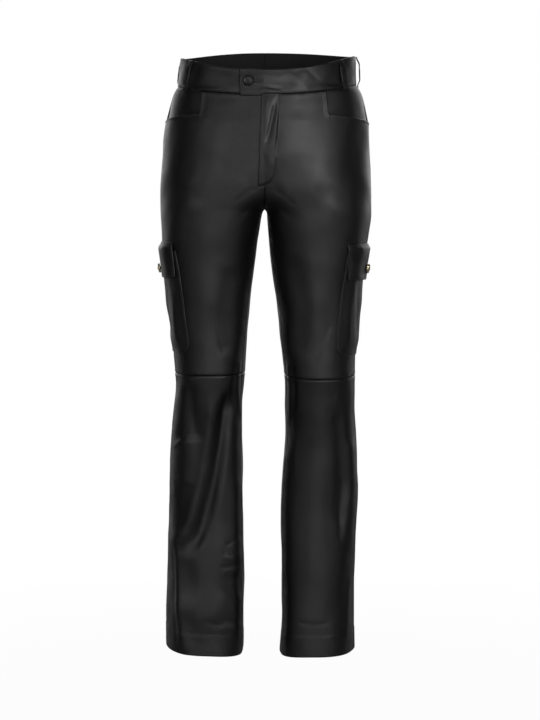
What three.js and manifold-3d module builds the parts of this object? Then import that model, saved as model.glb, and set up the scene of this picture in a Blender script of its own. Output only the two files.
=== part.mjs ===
// Leather trousers in their worn form: western L-shaped front pockets, side patch
// pockets with button-down flaps, a cross seam at the knee and flared hems.
// Millimetres. X runs to the wearer's left, Y to the back, Z up. The origin is the
// middle of the waist opening, level with the top of the waistband at the sides.
import * as THREE from "three";
import { mergeVertices } from "three/addons/utils/BufferGeometryUtils.js";
import Module from "manifold-3d";

const wasm = await Module();
wasm.setup();
const { Manifold, Mesh } = wasm;

// Cloth and seams
const LEATHER = 1.4;
const SEAM_GAP = 0.3;
const BAND_THICKNESS = 3.0;
const BAND_PROUD = 0.8;
const FLAP_THICKNESS = 2.4;
const LOOP_THICKNESS = 1.6;
const LOOP_WIDTH = 14;

// Heights
const CROTCH_Z = -279.6;

const RIGHT = "right";
const LEFT = "left";
const SIDES = [RIGHT, LEFT];
const SIGN = { right: -1, left: 1 };
const DEGREE = Math.PI / 180;

// Pieces that lie on a panel stand this far off it.
const ON_TOP_GAP = 0.4;

const clamp = (value, low, high) => Math.min(high, Math.max(low, value));
const mix = (from, to, share) => from + (to - from) * share;
const ease = (low, high, value) => {
  const share = clamp((value - low) / (high - low), 0, 1);
  return share * share * (3 - 2 * share);
};
const bent = (value, power) => Math.sign(value) * Math.abs(value) ** power;

// Smooth curve through table rows of [position, value], without overshoot.
function curve(rows) {
  const sorted = [...rows].sort((a, b) => a[0] - b[0]);
  const at = sorted.map((row) => row[0]);
  const value = sorted.map((row) => row[1]);
  const last = at.length - 1;
  const slope = at.slice(1).map((p, i) => (value[i + 1] - value[i]) / (p - at[i]));
  const tangent = at.map((_, i) => {
    if (i === 0) return slope[0];
    if (i === last) return slope[last - 1];
    const [before, after] = [slope[i - 1], slope[i]];
    return before * after <= 0 ? 0 : (2 * before * after) / (before + after);
  });
  return (position) => {
    const p = clamp(position, at[0], at[last]);
    let i = 0;
    while (i < last - 1 && p > at[i + 1]) i += 1;
    const width = at[i + 1] - at[i];
    const t = (p - at[i]) / width;
    const t2 = t * t;
    const t3 = t2 * t;
    return (
      (2 * t3 - 3 * t2 + 1) * value[i] +
      (t3 - 2 * t2 + t) * width * tangent[i] +
      (3 * t2 - 2 * t3) * value[i + 1] +
      (t3 - t2) * width * tangent[i + 1]
    );
  };
}

// Columns of a table as smooth curves of its first column.
const columns = (table) =>
  table[0].slice(1).map((_, i) => curve(table.map((row) => [row[0], row[i + 1]])));

// Depth of the worn form. Columns: z, front (reach forward), back (reach behind),
// middle (y of the widest point), power (2 is an ellipse, more is squarer), corner (the
// power of the quarter at the front of the inside leg)
const DEPTH_TABLE = [
  [30, 105, 103, 0, 2.2, 2.2],
  [0, 108, 108, 0, 2.2, 2.2],
  [-50, 113, 121, 3, 2.2, 2.2],
  [-96, 118, 132, 7, 2.25, 2.25],
  [-126, 120, 138, 9, 2.3, 2.3],
  [-171, 120, 142, 11, 2.3, 2.3],
  [-200, 118, 141, 11, 2.3, 2.5],
  [-227, 115, 137, 10, 2.3, 2.8],
  [-250, 112, 131, 9, 2.25, 3.1],
  [-280, 108, 120, 6, 2.2, 3.3],
  [-309, 105, 110, 3, 2.15, 2.8],
  [-354, 100, 101, 1, 2.15, 2.3],
  [-399, 96, 95, 0, 2.15, 2.15],
  [-450, 92, 87, -2, 2.15, 2.15],
  [-511, 88, 77, -6, 2.2, 2.2],
  [-556, 87, 69, -9, 2.2, 2.2],
  [-590, 87, 66, -10, 2.2, 2.2],
  [-630, 82, 70, -7, 2.2, 2.2],
  [-692, 74, 80, 0, 2.25, 2.5],
  [-761, 70, 87, 4, 2.3, 2.75],
  [-852, 72, 90, 7, 2.3, 3.0],
  [-943, 79, 92, 10, 2.3, 3.2],
  [-1035, 87, 95, 12, 2.35, 3.4],
  [-1120, 96, 98, 14, 2.5, 3.6],
];
const [FRONT, BACK, MIDDLE, POWER, CORNER] = columns(DEPTH_TABLE);

// Above the crotch: z, then how far each leg's middle has moved out from the centre
// plane as a share of its half width (0 one round hip, 1 two legs that part)
const SPREAD = curve([
  [30, 0],
  [-50, 0],
  [-66, 0.008],
  [-96, 0.022],
  [-126, 0.05],
  [-171, 0.12],
  [-200, 0.2],
  [-227, 0.34],
  [-250, 0.55],
  [-262, 0.71],
  [-272, 0.88],
  [CROTCH_Z, 1],
]);

// Outlines seen from the front. Columns: z, distance from the centre plane
const OUTER = {
  right: curve([
    [30, 150], [0, 154.7], [-30, 157.6], [-54, 161.8], [-62, 167.2], [-72, 171.6], [-96, 178.3], [-126, 185], [-171, 189.7],
    [-227, 193.7], [-286, 194.5], [-331, 192], [-376, 186], [-421, 180], [-466, 176.5], [-511, 172.3],
    [-556, 168.5], [-602, 166.5], [-647, 170.5], [-692, 174.2], [-761, 178.2], [-852, 180.2],
    [-943, 182.9], [-1035, 186.8], [-1120, 188.5],
  ]),
  left: curve([
    [30, 166], [0, 168.5], [-25, 168.7], [-50, 170.6], [-58, 176], [-68, 181.2], [-96, 188], [-126, 193.1], [-171, 196.5],
    [-227, 199], [-286, 199.7], [-331, 194.5], [-376, 186], [-421, 178.5], [-466, 173.8], [-511, 171.3],
    [-556, 169.3], [-602, 168.6], [-647, 169.2], [-692, 171.2], [-761, 174], [-806, 175.8],
    [-852, 174.4], [-943, 170.1], [-1035, 169.4], [-1120, 169.4],
  ]),
};
const INNER = {
  right: curve([
    [CROTCH_Z, 0], [-283, 3.2], [-288, 5.6], [-309, 9.1], [-331, 11.9], [-376, 17.8], [-421, 24],
    [-466, 28.3], [-511, 32.7], [-556, 35.3], [-602, 38.4], [-647, 41.8], [-692, 42.2], [-761, 40.8],
    [-852, 41.2], [-943, 38.8], [-1035, 40], [-1120, 41.6],
  ]),
  left: curve([
    [CROTCH_Z, 0], [-283, 3.2], [-288, 5.6], [-309, 6.5], [-331, 8], [-376, 11.8], [-421, 17.5],
    [-466, 24.2], [-511, 28.4], [-556, 33.1], [-602, 37], [-647, 37.8], [-692, 39.4], [-761, 34.7],
    [-806, 32], [-852, 30.4], [-943, 32.5], [-1035, 32.3], [-1120, 29.5],
  ]),
};

// Where the seams lie round each leg, in degrees. The outseam is counted forward of
// the outermost line, the inseam forward of the innermost line. Column one is z
const OUTSEAM = {
  right: curve([[0, 0], [-250, 1], [-364, 4], [-430, 5], [-700, 5], [-1108, 3]]),
  left: curve([[0, 0], [-250, 6], [-345, 12], [-411, 10.5], [-500, 11], [-550, 9.5], [-700, 12], [-1108, 16]]),
};
const INSEAM = curve([[CROTCH_Z, 0], [-330, 11], [-400, 20], [-480, 22], [-1108, 22]]);

// Large folds of the worn leather, seen from the front or the back. Height is out of
// the cloth (minus is a trough), width is half the fold's breadth, path is [x, z]
const FOLDS = [
  { side: RIGHT, face: 1, height: -7, width: 12, path: [[-60, -604], [-80, -680], [-98, -782], [-121, -867], [-150, -932]] },
  { side: RIGHT, face: 1, height: 5, width: 12, path: [[-92, -606], [-109, -750], [-135, -850], [-158, -915]] },
  { side: RIGHT, face: 1, height: -4, width: 11, path: [[-140, -600], [-135, -650], [-125, -715]] },
  { side: RIGHT, face: 1, height: 4, width: 15, path: [[-150, -700], [-140, -745], [-148, -800]] },
  { side: RIGHT, face: 1, height: 6, width: 14, path: [[-166, -850], [-160, -960], [-154, -1050], [-146, -1120]] },
  { side: RIGHT, face: 1, height: -3, width: 22, path: [[-52, -950], [-60, -1010], [-66, -1060]] },
  { side: LEFT, face: 1, height: 4, width: 9, path: [[158, -700], [162, -790], [155, -925]] },
  { side: LEFT, face: 1, height: -4, width: 13, path: [[136, -640], [142, -760], [138, -880]] },
  { side: LEFT, face: 1, height: 3, width: 24, path: [[100, -620], [98, -800], [94, -1000]] },
  { side: RIGHT, face: 1, height: -3, width: 17, path: [[-58, -380], [-75, -470], [-66, -560]] },
  { side: LEFT, face: 1, height: -3, width: 17, path: [[50, -360], [72, -460], [64, -560]] },
  { side: RIGHT, face: -1, height: -6, width: 13, path: [[-50, -300], [-110, -322], [-170, -318]] },
  { side: LEFT, face: -1, height: -6, width: 13, path: [[44, -304], [104, -326], [172, -320]] },
  { side: RIGHT, face: -1, height: -6, width: 12, path: [[-52, -548], [-105, -566], [-158, -560]] },
  { side: LEFT, face: -1, height: -6, width: 12, path: [[46, -556], [98, -572], [156, -562]] },
  { side: RIGHT, face: -1, height: -5, width: 14, path: [[-150, -625], [-110, -700], [-70, -840]] },
  { side: LEFT, face: -1, height: -5, width: 14, path: [[58, -630], [100, -716], [138, -850]] },
  { side: RIGHT, face: -1, height: 4, width: 16, path: [[-120, -640], [-100, -820], [-112, -1010]] },
  { side: LEFT, face: -1, height: 4, width: 16, path: [[108, -650], [92, -830], [104, -1000]] },
];

// Size of one leg's section at a height.
function section(side, z) {
  const outer = OUTER[side](z);
  const apart = z < CROTCH_Z;
  const halfWidth = apart ? (outer - INNER[side](z)) / 2 : outer / (1 + SPREAD(z));
  return {
    halfWidth,
    centre: outer - halfWidth,
    front: FRONT(z),
    back: BACK(z),
    middle: MIDDLE(z),
    power: POWER(z),
    corner: CORNER(z),
  };
}

// Point of the smooth worn form. The angle is 0 at the innermost line, 90 degrees at
// the front, 180 at the outermost line and -90 at the back.
function formPoint(side, angle, z) {
  const s = section(side, z);
  const cosine = Math.cos(angle);
  const sine = Math.sin(angle);
  const power = cosine > 0 && sine > 0 ? s.corner : s.power;
  const across = bent(cosine, 2 / power);
  const forward = bent(sine, 2 / power);
  const depth = forward > 0 ? s.front + s.middle : s.back - s.middle;
  return new THREE.Vector3(
    SIGN[side] * (s.centre - s.halfWidth * across),
    s.middle - depth * forward,
    z,
  );
}

// Height of the folds at a point of the form.
function foldHeight(side, x, z, facing) {
  let height = 0;
  for (const fold of FOLDS) {
    if (fold.side !== side || fold.face * facing <= 0) continue;
    const reach = 3 * fold.width;
    let nearest = reach;
    let along = 0;
    const legs = fold.path.length - 1;
    for (let i = 0; i < legs; i += 1) {
      const [x0, z0] = fold.path[i];
      const [x1, z1] = fold.path[i + 1];
      const length2 = (x1 - x0) ** 2 + (z1 - z0) ** 2;
      const t = clamp(((x - x0) * (x1 - x0) + (z - z0) * (z1 - z0)) / length2, 0, 1);
      const distance = Math.hypot(x - mix(x0, x1, t), z - mix(z0, z1, t));
      if (distance < nearest) {
        nearest = distance;
        along = (i + t) / legs;
      }
    }
    if (nearest >= reach) continue;
    const ends = ease(0, 0.16, along) * ease(0, 0.16, 1 - along);
    const shown = ease(0, 0.3, fold.face * facing);
    height += fold.height * ends * shown * Math.exp(-((nearest / fold.width) ** 2));
  }
  return height;
}

// Outer surface of the cloth, with its folds.
function skin(side, angle, z) {
  const point = formPoint(side, angle, z);
  const step = 0.02;
  const before = formPoint(side, angle - step, z);
  const after = formPoint(side, angle + step, z);
  const out = new THREE.Vector3(after.y - before.y, before.x - after.x, 0).normalize();
  out.multiplyScalar(SIGN[side]);
  return point.addScaledVector(out, foldHeight(side, point.x, z, Math.sin(angle)));
}

// Outward normal of the cloth.
function normal(side, angle, z) {
  const turn = 0.02;
  const rise = 1.5;
  const round = skin(side, angle + turn, z).sub(skin(side, angle - turn, z));
  const up = skin(side, angle, z + rise).sub(skin(side, angle, z - rise));
  return round.cross(up).multiplyScalar(SIGN[side]).normalize();
}

// Point at a height over the cloth (minus is inside it).
function lifted(side, angle, z, height) {
  return skin(side, angle, z).addScaledVector(normal(side, angle, z), height);
}

// Length of cloth per radian round a section.
function spacing(side, angle, z) {
  const step = 0.02;
  return skin(side, angle + step, z).distanceTo(skin(side, angle - step, z)) / (2 * step);
}

// Angle where a section stands a given distance from the centre plane, on the front.
function frontAngle(side, distance, z) {
  const s = section(side, z);
  const share = clamp((s.centre - distance) / s.halfWidth, -1, 1);
  return Math.acos(bent(share, (share > 0 ? s.corner : s.power) / 2));
}

// Angle a length of cloth away from the outseam, forward when positive.
function sideAngle(side, distance, z) {
  const steps = 24;
  let angle = outseamAngle(side, z);
  for (let i = 0; i < steps; i += 1) {
    angle -= distance / steps / spacing(side, angle, z);
  }
  return angle;
}

// Seam lines
function outseamAngle(side, z) {
  return Math.PI - OUTSEAM[side](z) * DEGREE;
}

function centreAngle(side, z) {
  return frontAngle(side, SEAM_GAP / 2, z);
}

function inseamAngle(side, z, face) {
  if (z >= CROTCH_Z) return face * centreAngle(side, z);
  const angle = INSEAM(z) * DEGREE;
  return angle + (face * SEAM_GAP) / 2 / spacing(side, angle, z);
}

// Height of the waist seam. Position runs from -1 at the centre back, over 0 at the
// outseam, to 1 at the centre front.
function waistSeam(side, position) {
  const side0 = side === RIGHT ? -54 : -50;
  const away = Math.sin((Math.abs(position) * Math.PI) / 2) ** 2;
  return position > 0 ? mix(side0, -70.5, away) : mix(side0, -34, away);
}

function kneeSeam(side, position) {
  const level = side === RIGHT ? -586 : -590;
  const sag = side === RIGHT ? 1 : 5;
  return level - (position > 0 ? sag : -3) * Math.sin(Math.abs(position) * Math.PI);
}

// Columns: height of the hem at the outseam, mid front, inseam and mid back
const HEM = {
  right: { outseam: -1097, front: -1108, inseam: -1113, back: -1105 },
  left: { outseam: -1109, front: -1111, inseam: -1115, back: -1108 },
};

function hemLine(side, position) {
  const { outseam, front, inseam, back } = HEM[side];
  const share = Math.abs(position);
  const middle = (position > 0 ? front : back) - (outseam + inseam) / 2;
  return mix(outseam, inseam, share) + middle * Math.sin(share * Math.PI);
}

// Closed wall between an outer and an inner grid of points, with its rim.
function wall(across, down, place) {
  const positions = [];
  for (const layer of [0, 1]) {
    for (let j = 0; j <= down; j += 1) {
      for (let i = 0; i <= across; i += 1) {
        positions.push(...place(i / across, j / down)[layer].toArray());
      }
    }
  }
  const stride = across + 1;
  const inside = stride * (down + 1);
  const faces = [];
  const quad = (a, b, c, d) => faces.push(a, b, c, a, c, d);
  for (let j = 0; j < down; j += 1) {
    for (let i = 0; i < across; i += 1) {
      const a = j * stride + i;
      quad(a, a + stride, a + stride + 1, a + 1);
      quad(inside + a, inside + a + 1, inside + a + stride + 1, inside + a + stride);
    }
  }
  for (let i = 0; i < across; i += 1) {
    const low = down * stride + i;
    quad(i, i + 1, inside + i + 1, inside + i);
    quad(low + 1, low, inside + low, inside + low + 1);
  }
  for (let j = 0; j < down; j += 1) {
    const left = j * stride;
    const right = left + across;
    quad(left + stride, left, inside + left, inside + left + stride);
    quad(right, right + stride, inside + right + stride, inside + right);
  }
  return closed(positions, faces);
}

// Geometry with its faces turned outwards.
function closed(positions, faces) {
  let volume = 0;
  const corner = (n) => new THREE.Vector3().fromArray(positions, 3 * faces[n]);
  for (let i = 0; i < faces.length; i += 3) {
    volume += corner(i).dot(corner(i + 1).cross(corner(i + 2)));
  }
  if (volume < 0) {
    for (let i = 0; i < faces.length; i += 3) {
      [faces[i + 1], faces[i + 2]] = [faces[i + 2], faces[i + 1]];
    }
  }
  return new THREE.BufferGeometry()
    .setAttribute("position", new THREE.Float32BufferAttribute(positions, 3))
    .setIndex(faces);
}

function toSolid(geometry) {
  const bare = new THREE.BufferGeometry()
    .setAttribute("position", geometry.getAttribute("position"))
    .setIndex(geometry.index);
  const merged = mergeVertices(bare, 1e-4);
  return new Manifold(
    new Mesh({
      numProp: 3,
      vertProperties: new Float32Array(merged.attributes.position.array),
      triVerts: new Uint32Array(merged.index.array),
    }),
  );
}

function toGeometry(solid) {
  const mesh = solid.getMesh();
  return new THREE.BufferGeometry()
    .setAttribute("position", new THREE.BufferAttribute(mesh.vertProperties, 3))
    .setIndex(new THREE.BufferAttribute(mesh.triVerts, 1));
}

const group = new THREE.Group();
group.name = "leather_trousers";
const leather = new THREE.MeshStandardMaterial({ color: 0x17151a, roughness: 0.42 });
const metal = new THREE.MeshStandardMaterial({ color: 0xcdb98a, roughness: 0.25, metalness: 1 });
const horn = new THREE.MeshStandardMaterial({ color: 0x0e0d0f, roughness: 0.3 });

function add(name, geometry, material = leather) {
  geometry.computeVertexNormals();
  const mesh = new THREE.Mesh(geometry, material);
  mesh.name = name;
  group.add(mesh);
}

// Wall of cloth whose outer face lies on the form: `at` gives angle and z of a point.
function clothWall(side, across, down, at, outside = 0, thickness = LEATHER) {
  return wall(across, down, (u, v) => {
    const { angle, z } = at(u, v);
    return [lifted(side, angle, z, outside), lifted(side, angle, z, outside - thickness)];
  });
}

// Leg panels: u runs from the centre or inseam edge to the outseam.
function panelAt(side, face, height, u, v) {
  const z = height(face * (1 - u), v);
  const from = inseamAngle(side, z, face);
  const out = outseamAngle(side, z) - (face > 0 ? 0 : 2 * Math.PI);
  const to = out - (face * SEAM_GAP) / 2 / spacing(side, out, z);
  return { angle: mix(from, to, u), z };
}

// Rows stand closer together round the crotch.
const ROWS_ABOVE = 12;
const ROWS_BELOW = 11;
const ABOVE_POWER = 1.6;
const BELOW_POWER = 1.5;
const SHIN_ACROSS = 12;
const SHIN_DOWN = 18;
// Columns stand closer together where the fly and the side pockets lie on a panel.
const THIGH_COLUMNS = [0, 0.045, 0.09, 0.14, 0.23, 0.33, 0.43, 0.53, 0.63, 0.72, 0.765, 0.81, 0.855, 0.9, 0.95, 1];

function thighPanel(side, face) {
  const last = THIGH_COLUMNS.length - 1;
  const height = (position, v) => {
    const row = Math.round(v * (ROWS_ABOVE + ROWS_BELOW));
    if (row <= ROWS_ABOVE) {
      const share = (1 - row / ROWS_ABOVE) ** ABOVE_POWER;
      return mix(CROTCH_Z, waistSeam(side, position) - SEAM_GAP / 2, share);
    }
    const share = ((row - ROWS_ABOVE) / ROWS_BELOW) ** BELOW_POWER;
    return mix(CROTCH_Z, kneeSeam(side, position) + SEAM_GAP / 2, share);
  };
  return clothWall(side, last, ROWS_ABOVE + ROWS_BELOW, (u, v) =>
    panelAt(side, face, height, THIGH_COLUMNS[Math.round(u * last)], v),
  );
}

function shinPanel(side, face) {
  const height = (position, v) =>
    mix(kneeSeam(side, position) - SEAM_GAP / 2, hemLine(side, position), v);
  return clothWall(side, SHIN_ACROSS, SHIN_DOWN, (u, v) => panelAt(side, face, height, u, v));
}

// Front pocket mouth: an L from the waist seam down to a corner, then out to the outseam.
// Columns: x of the edge at the top, x of the corner, z of the corner, z at the outseam
const POCKET = {
  right: { topX: 114, cornerX: 119.5, cornerZ: -103, sideZ: -117 },
  left: { topX: 113, cornerX: 117.5, cornerZ: -105, sideZ: -121 },
};
const MOUTH_MARGIN = 12;

// Point of the pocket: u from the upright edge to the outseam, v from the lower edge
// up to the waist seam, both widened by a margin.
function pocketAt(side, u, v, margin, above, past) {
  const p = POCKET[side];
  const low = mix(p.cornerZ, p.sideZ, u) - margin;
  let z = mix(low, waistSeam(side, 0.5), v);
  let angle = Math.PI;
  for (let round = 0; round < 4; round += 1) {
    const edge = frontAngle(side, mix(p.cornerX, p.topX, v) - margin, z);
    const out = outseamAngle(side, z);
    angle = mix(edge, out + past / spacing(side, out, z), u);
    const position = (out - angle) / (out - centreAngle(side, z));
    z = mix(low, waistSeam(side, clamp(position, 0, 1)) + above, v);
  }
  return { angle, z };
}

function pocketCutter(side) {
  return clothWall(side, 8, 5, (u, v) => pocketAt(side, u, v, 0, 6, 4), 3, LEATHER + 6);
}

// Facing behind the mouth: under the front panel at its margins, level with the cloth
// in the middle.
function pocketFacing(side) {
  const across = 10;
  const down = 7;
  const under = -(LEATHER + 1.2);
  return wall(across, down, (u, v) => {
    const { angle, z } = pocketAt(side, u, v, MOUTH_MARGIN, -SEAM_GAP / 2, -SEAM_GAP / 2);
    const wide = spacing(side, Math.PI * 0.8, z) * 0.85;
    const inside = Math.min(u * wide, v * 60) - MOUTH_MARGIN;
    const level = mix(under, -0.2, ease(2, 16, inside));
    return [lifted(side, angle, z, level), lifted(side, angle, z, level - LEATHER)];
  });
}

for (const side of SIDES) {
  const front = toSolid(thighPanel(side, 1)).subtract(toSolid(pocketCutter(side)));
  const parts = front.decompose().sort((a, b) => b.volume() - a.volume());
  add(`front_thigh_${side}`, toGeometry(parts[0]));
  add(`back_thigh_${side}`, thighPanel(side, -1));
  add(`front_shin_${side}`, shinPanel(side, 1));
  add(`back_shin_${side}`, shinPanel(side, -1));
  add(`hip_facing_${side}`, pocketFacing(side));
}

// Waistband. The half at the wearer's left laps over the other and ends in a tab.
const TAB_LENGTH = 44.5;
const TAB_LIFT = BAND_PROUD + SEAM_GAP + BAND_THICKNESS;
const TAB_DROP = 4;

// Height of the band at the side, the centre front and the centre back
const BAND = { side: 53, front: 44, back: 49 };

function bandRows(side, position) {
  const bottom = waistSeam(side, position) + SEAM_GAP / 2;
  const away = Math.sin((Math.abs(position) * Math.PI) / 2) ** 2;
  return [bottom + mix(BAND.side, position > 0 ? BAND.front : BAND.back, away), bottom];
}

function bandPoint(side, position, z, height) {
  const out = outseamAngle(side, z);
  const centre = centreAngle(side, z);
  const angle =
    position > 0 ? mix(out, centre, position) : mix(out - 2 * Math.PI, -centre, -position);
  return lifted(side, angle, z, height);
}

// Point on the front of the hips at a signed x.
function hipPoint(x, z, height) {
  const side = x < 0 ? RIGHT : LEFT;
  return lifted(side, frontAngle(side, Math.abs(x), z), z, height);
}

add(
  "waistband_right",
  wall(26, 3, (u, v) => {
    const position = mix(-1, 1, u);
    const [top, bottom] = bandRows(RIGHT, position);
    const z = mix(top, bottom, v);
    return [
      bandPoint(RIGHT, position, z, BAND_PROUD),
      bandPoint(RIGHT, position, z, BAND_PROUD - BAND_THICKNESS),
    ];
  }),
);

const TAB_SHARE = 0.16;
add(
  "waistband_left",
  wall(32, 3, (u, v) => {
    const run = u / (1 - TAB_SHARE);
    if (run <= 1) {
      const position = mix(-1, 1, run);
      const [top, bottom] = bandRows(LEFT, position);
      const z = mix(top, bottom, v);
      const height = mix(BAND_PROUD, TAB_LIFT, ease(0.86, 1, position));
      return [
        bandPoint(LEFT, position, z, height),
        bandPoint(LEFT, position, z, height - BAND_THICKNESS),
      ];
    }
    const x = -TAB_LENGTH * clamp((run - 1) / (TAB_SHARE / (1 - TAB_SHARE)), 0, 1);
    const [top, bottom] = bandRows(LEFT, 1);
    const z = mix(top + 0.05 * -x, bottom - TAB_DROP * ease(0, 8, -x), v);
    return [hipPoint(x, z, TAB_LIFT), hipPoint(x, z, TAB_LIFT - BAND_THICKNESS)];
  }),
);

// Fly: a placket over the front panels with a J-shaped side.
const FLY = { topZ: -71, straightZ: -208, bottomZ: -241.5, leftTop: -5, leftBottom: -11.5, rightTop: 31, rightBottom: 23.5 };
const FLY_LIFT = ON_TOP_GAP + LEATHER;

function flyPoint(u, v, height) {
  const down = v < 0.7 ? v / 0.7 : 1;
  const left = (z) => mix(FLY.leftTop, FLY.leftBottom, (FLY.topZ - z) / (FLY.topZ - FLY.bottomZ));
  const start = FLY.topZ - (TAB_DROP + 0.4) * ease(0, 8, -mix(FLY.leftTop, FLY.rightTop, u));
  const turn = v < 0.7 ? 0 : Math.sin(((v - 0.7) / 0.3) * 88 * DEGREE);
  const z = mix(start, FLY.straightZ, down) + (FLY.bottomZ - FLY.straightZ) * turn;
  const straight = mix(FLY.rightTop, FLY.rightBottom, clamp((FLY.topZ - z) / (FLY.topZ - FLY.straightZ), 0, 1));
  const right = mix(left(z), straight, Math.sqrt(1 - turn * turn));
  return hipPoint(mix(left(z), right, u), z, height);
}

add("fly_placket", wall(7, 14, (u, v) => [flyPoint(u, v, FLY_LIFT), flyPoint(u, v, ON_TOP_GAP)]));

// Patch pockets on the outseams. Front and back are lengths of cloth from the outseam
const BAG = { topZ: -357, gap: 0.6, rise: 3.3, corner: 17 };
const BAG_SIDE = {
  right: { front: 73, back: 70, bottomZ: -546 },
  left: { front: 71, back: 71, bottomZ: -551 },
};
const FLAP_SIDE = {
  right: { frontTop: 69, frontBottom: 64, back: 68, topZ: -341, bottomZ: -406 },
  left: { frontTop: 75, frontBottom: 64, back: 68, topZ: -344.5, bottomZ: -411 },
};

// Height of the bag's outer face: low at its stitched edges, full in the middle.
function bagHeight(side, distance, z) {
  const { front, back, bottomZ } = BAG_SIDE[side];
  const edge = Math.min(front - distance, distance + back, z - bottomZ);
  return BAG.gap + LEATHER + BAG.rise * ease(0, 34, edge);
}

function bagPoint(side, u, v, inside) {
  const { front, back, bottomZ } = BAG_SIDE[side];
  const z = mix(BAG.topZ, bottomZ, v);
  const low = clamp((bottomZ + BAG.corner - z) / BAG.corner, 0, 1);
  const inset = BAG.corner * (1 - Math.sqrt(1 - (0.97 * low) ** 2));
  const distance = mix(-back + inset, front - inset, u);
  const height = bagHeight(side, distance, z) - (inside ? LEATHER : 0);
  return lifted(side, sideAngle(side, distance, z), z, height);
}

const BAG_ROWS = curve([[0, 0], [0.5, 0.56], [0.72, 0.86], [0.82, 0.93], [0.91, 0.975], [1, 1]]);

// Flap: lies on the cloth at its stitched top edge, then over the bag.
function flapHeight(side, distance, z) {
  const { topZ, bottomZ } = FLAP_SIDE[side];
  const reach = BAG_SIDE[side];
  const held = clamp(distance, -reach.back, reach.front);
  const over = bagHeight(side, held, Math.min(z, BAG.topZ)) + SEAM_GAP + 0.3;
  const stand = 2.2 * ((topZ - z) / (topZ - bottomZ)) ** 2;
  return mix(ON_TOP_GAP, over, ease(topZ - 1, BAG.topZ + 5, z)) + stand;
}

function flapPoint(side, distance, z, height) {
  return lifted(side, sideAngle(side, distance, z), z, flapHeight(side, distance, z) + height);
}

// Sculpted metal button with a roped rim, turned about its own axis.
function flapButton() {
  const profile = [
    [0, 0], [3.2, 0], [3.2, 1.4], [7.2, 1.8], [8.6, 2.6], [8.8, 3.6],
    [7.8, 4.4], [6.6, 4.2], [5.4, 5.4], [3.2, 6.6], [0, 7],
  ];
  const lobes = 24;
  const rows = profile.length;
  const positions = [];
  const faces = [];
  for (let i = 1; i < rows - 1; i += 1) {
    for (let k = 0; k < lobes; k += 1) {
      const turn = (k / lobes) * 2 * Math.PI;
      const ripple = i >= 4 && i <= 6 && k % 2 ? -0.5 : 0;
      const radius = profile[i][0] + ripple;
      positions.push(radius * Math.cos(turn), radius * Math.sin(turn), profile[i][1]);
    }
  }
  const bottom = positions.length / 3;
  positions.push(0, 0, profile[0][1]);
  positions.push(0, 0, profile[rows - 1][1]);
  for (let k = 0; k < lobes; k += 1) {
    const next = (k + 1) % lobes;
    faces.push(bottom, next, k);
    for (let i = 0; i < rows - 3; i += 1) {
      const [a, b] = [i * lobes + k, i * lobes + next];
      faces.push(a, b, b + lobes, a, b + lobes, a + lobes);
    }
    const high = (rows - 3) * lobes;
    faces.push(high + k, high + next, bottom + 1);
  }
  return closed(positions, faces);
}

// Moves a geometry built along +Z onto a point, facing out.
function placed(geometry, point, outward, up = new THREE.Vector3(0, 0, 1)) {
  const z = outward.clone().normalize();
  const x = up.clone().cross(z).normalize();
  const y = z.clone().cross(x);
  const matrix = new THREE.Matrix4().makeBasis(x, y, z).setPosition(point);
  return geometry.applyMatrix4(matrix);
}

const FLAP_BUTTON_Z = { right: -388.5, left: -389.5 };

for (const side of SIDES) {
  add(
    `cargo_bag_${side}`,
    wall(14, 14, (u, v) => [bagPoint(side, u, BAG_ROWS(v), false), bagPoint(side, u, BAG_ROWS(v), true)]),
  );
  const { frontTop, frontBottom, back, topZ, bottomZ } = FLAP_SIDE[side];
  add(
    `cargo_flap_${side}`,
    wall(14, 7, (u, v) => {
      const distance = mix(-back, mix(frontTop, frontBottom, v), u);
      const z = mix(topZ, bottomZ, v);
      return [flapPoint(side, distance, z, FLAP_THICKNESS), flapPoint(side, distance, z, 0)];
    }),
  );
  const z = FLAP_BUTTON_Z[side];
  const seat = flapPoint(side, 0, z, FLAP_THICKNESS + SEAM_GAP);
  const facing = normal(side, outseamAngle(side, z), z);
  add(`flap_button_${side}`, placed(flapButton(), seat, facing), metal);
}

// Belt loops over the waistband. Position is along the band as for the waist seam,
// distance the length of cloth forward of the outseam
const LOOPS = [
  { name: "belt_loop_front_right", side: RIGHT, position: 0.34, distance: 68 },
  { name: "belt_loop_front_left", side: LEFT, position: 0.37, distance: 74 },
  { name: "belt_loop_side_right", side: RIGHT, position: -0.17, distance: -37 },
  { name: "belt_loop_side_left", side: LEFT, position: 0, distance: -3 },
  { name: "belt_loop_back", side: LEFT, position: -1 },
];
const LOOP_STAND = 5.3;
const LOOP_REACH = 5;

function centreBackPoint(x, z, height) {
  const side = x < 0 ? RIGHT : LEFT;
  return lifted(side, -frontAngle(side, Math.abs(x), z), z, height);
}

for (const { name, side, position, distance } of LOOPS) {
  const [top, bottom] = bandRows(side, position);
  add(
    name,
    wall(3, 12, (u, v) => {
      const z = mix(top - 1, bottom - LOOP_REACH, v);
      const rest = z < bottom - 3 ? 0 : BAND_PROUD;
      const arch = ease(0, 0.28, v) * ease(0, 0.28, 1 - v);
      const low = rest + SEAM_GAP + LOOP_STAND * arch;
      const across = (u - 0.5) * LOOP_WIDTH;
      const at = (height) =>
        position === -1
          ? centreBackPoint(across, z, height)
          : lifted(side, sideAngle(side, distance + across, z), z, height);
      return [at(low + LOOP_THICKNESS), at(low)];
    }),
  );
}

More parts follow.
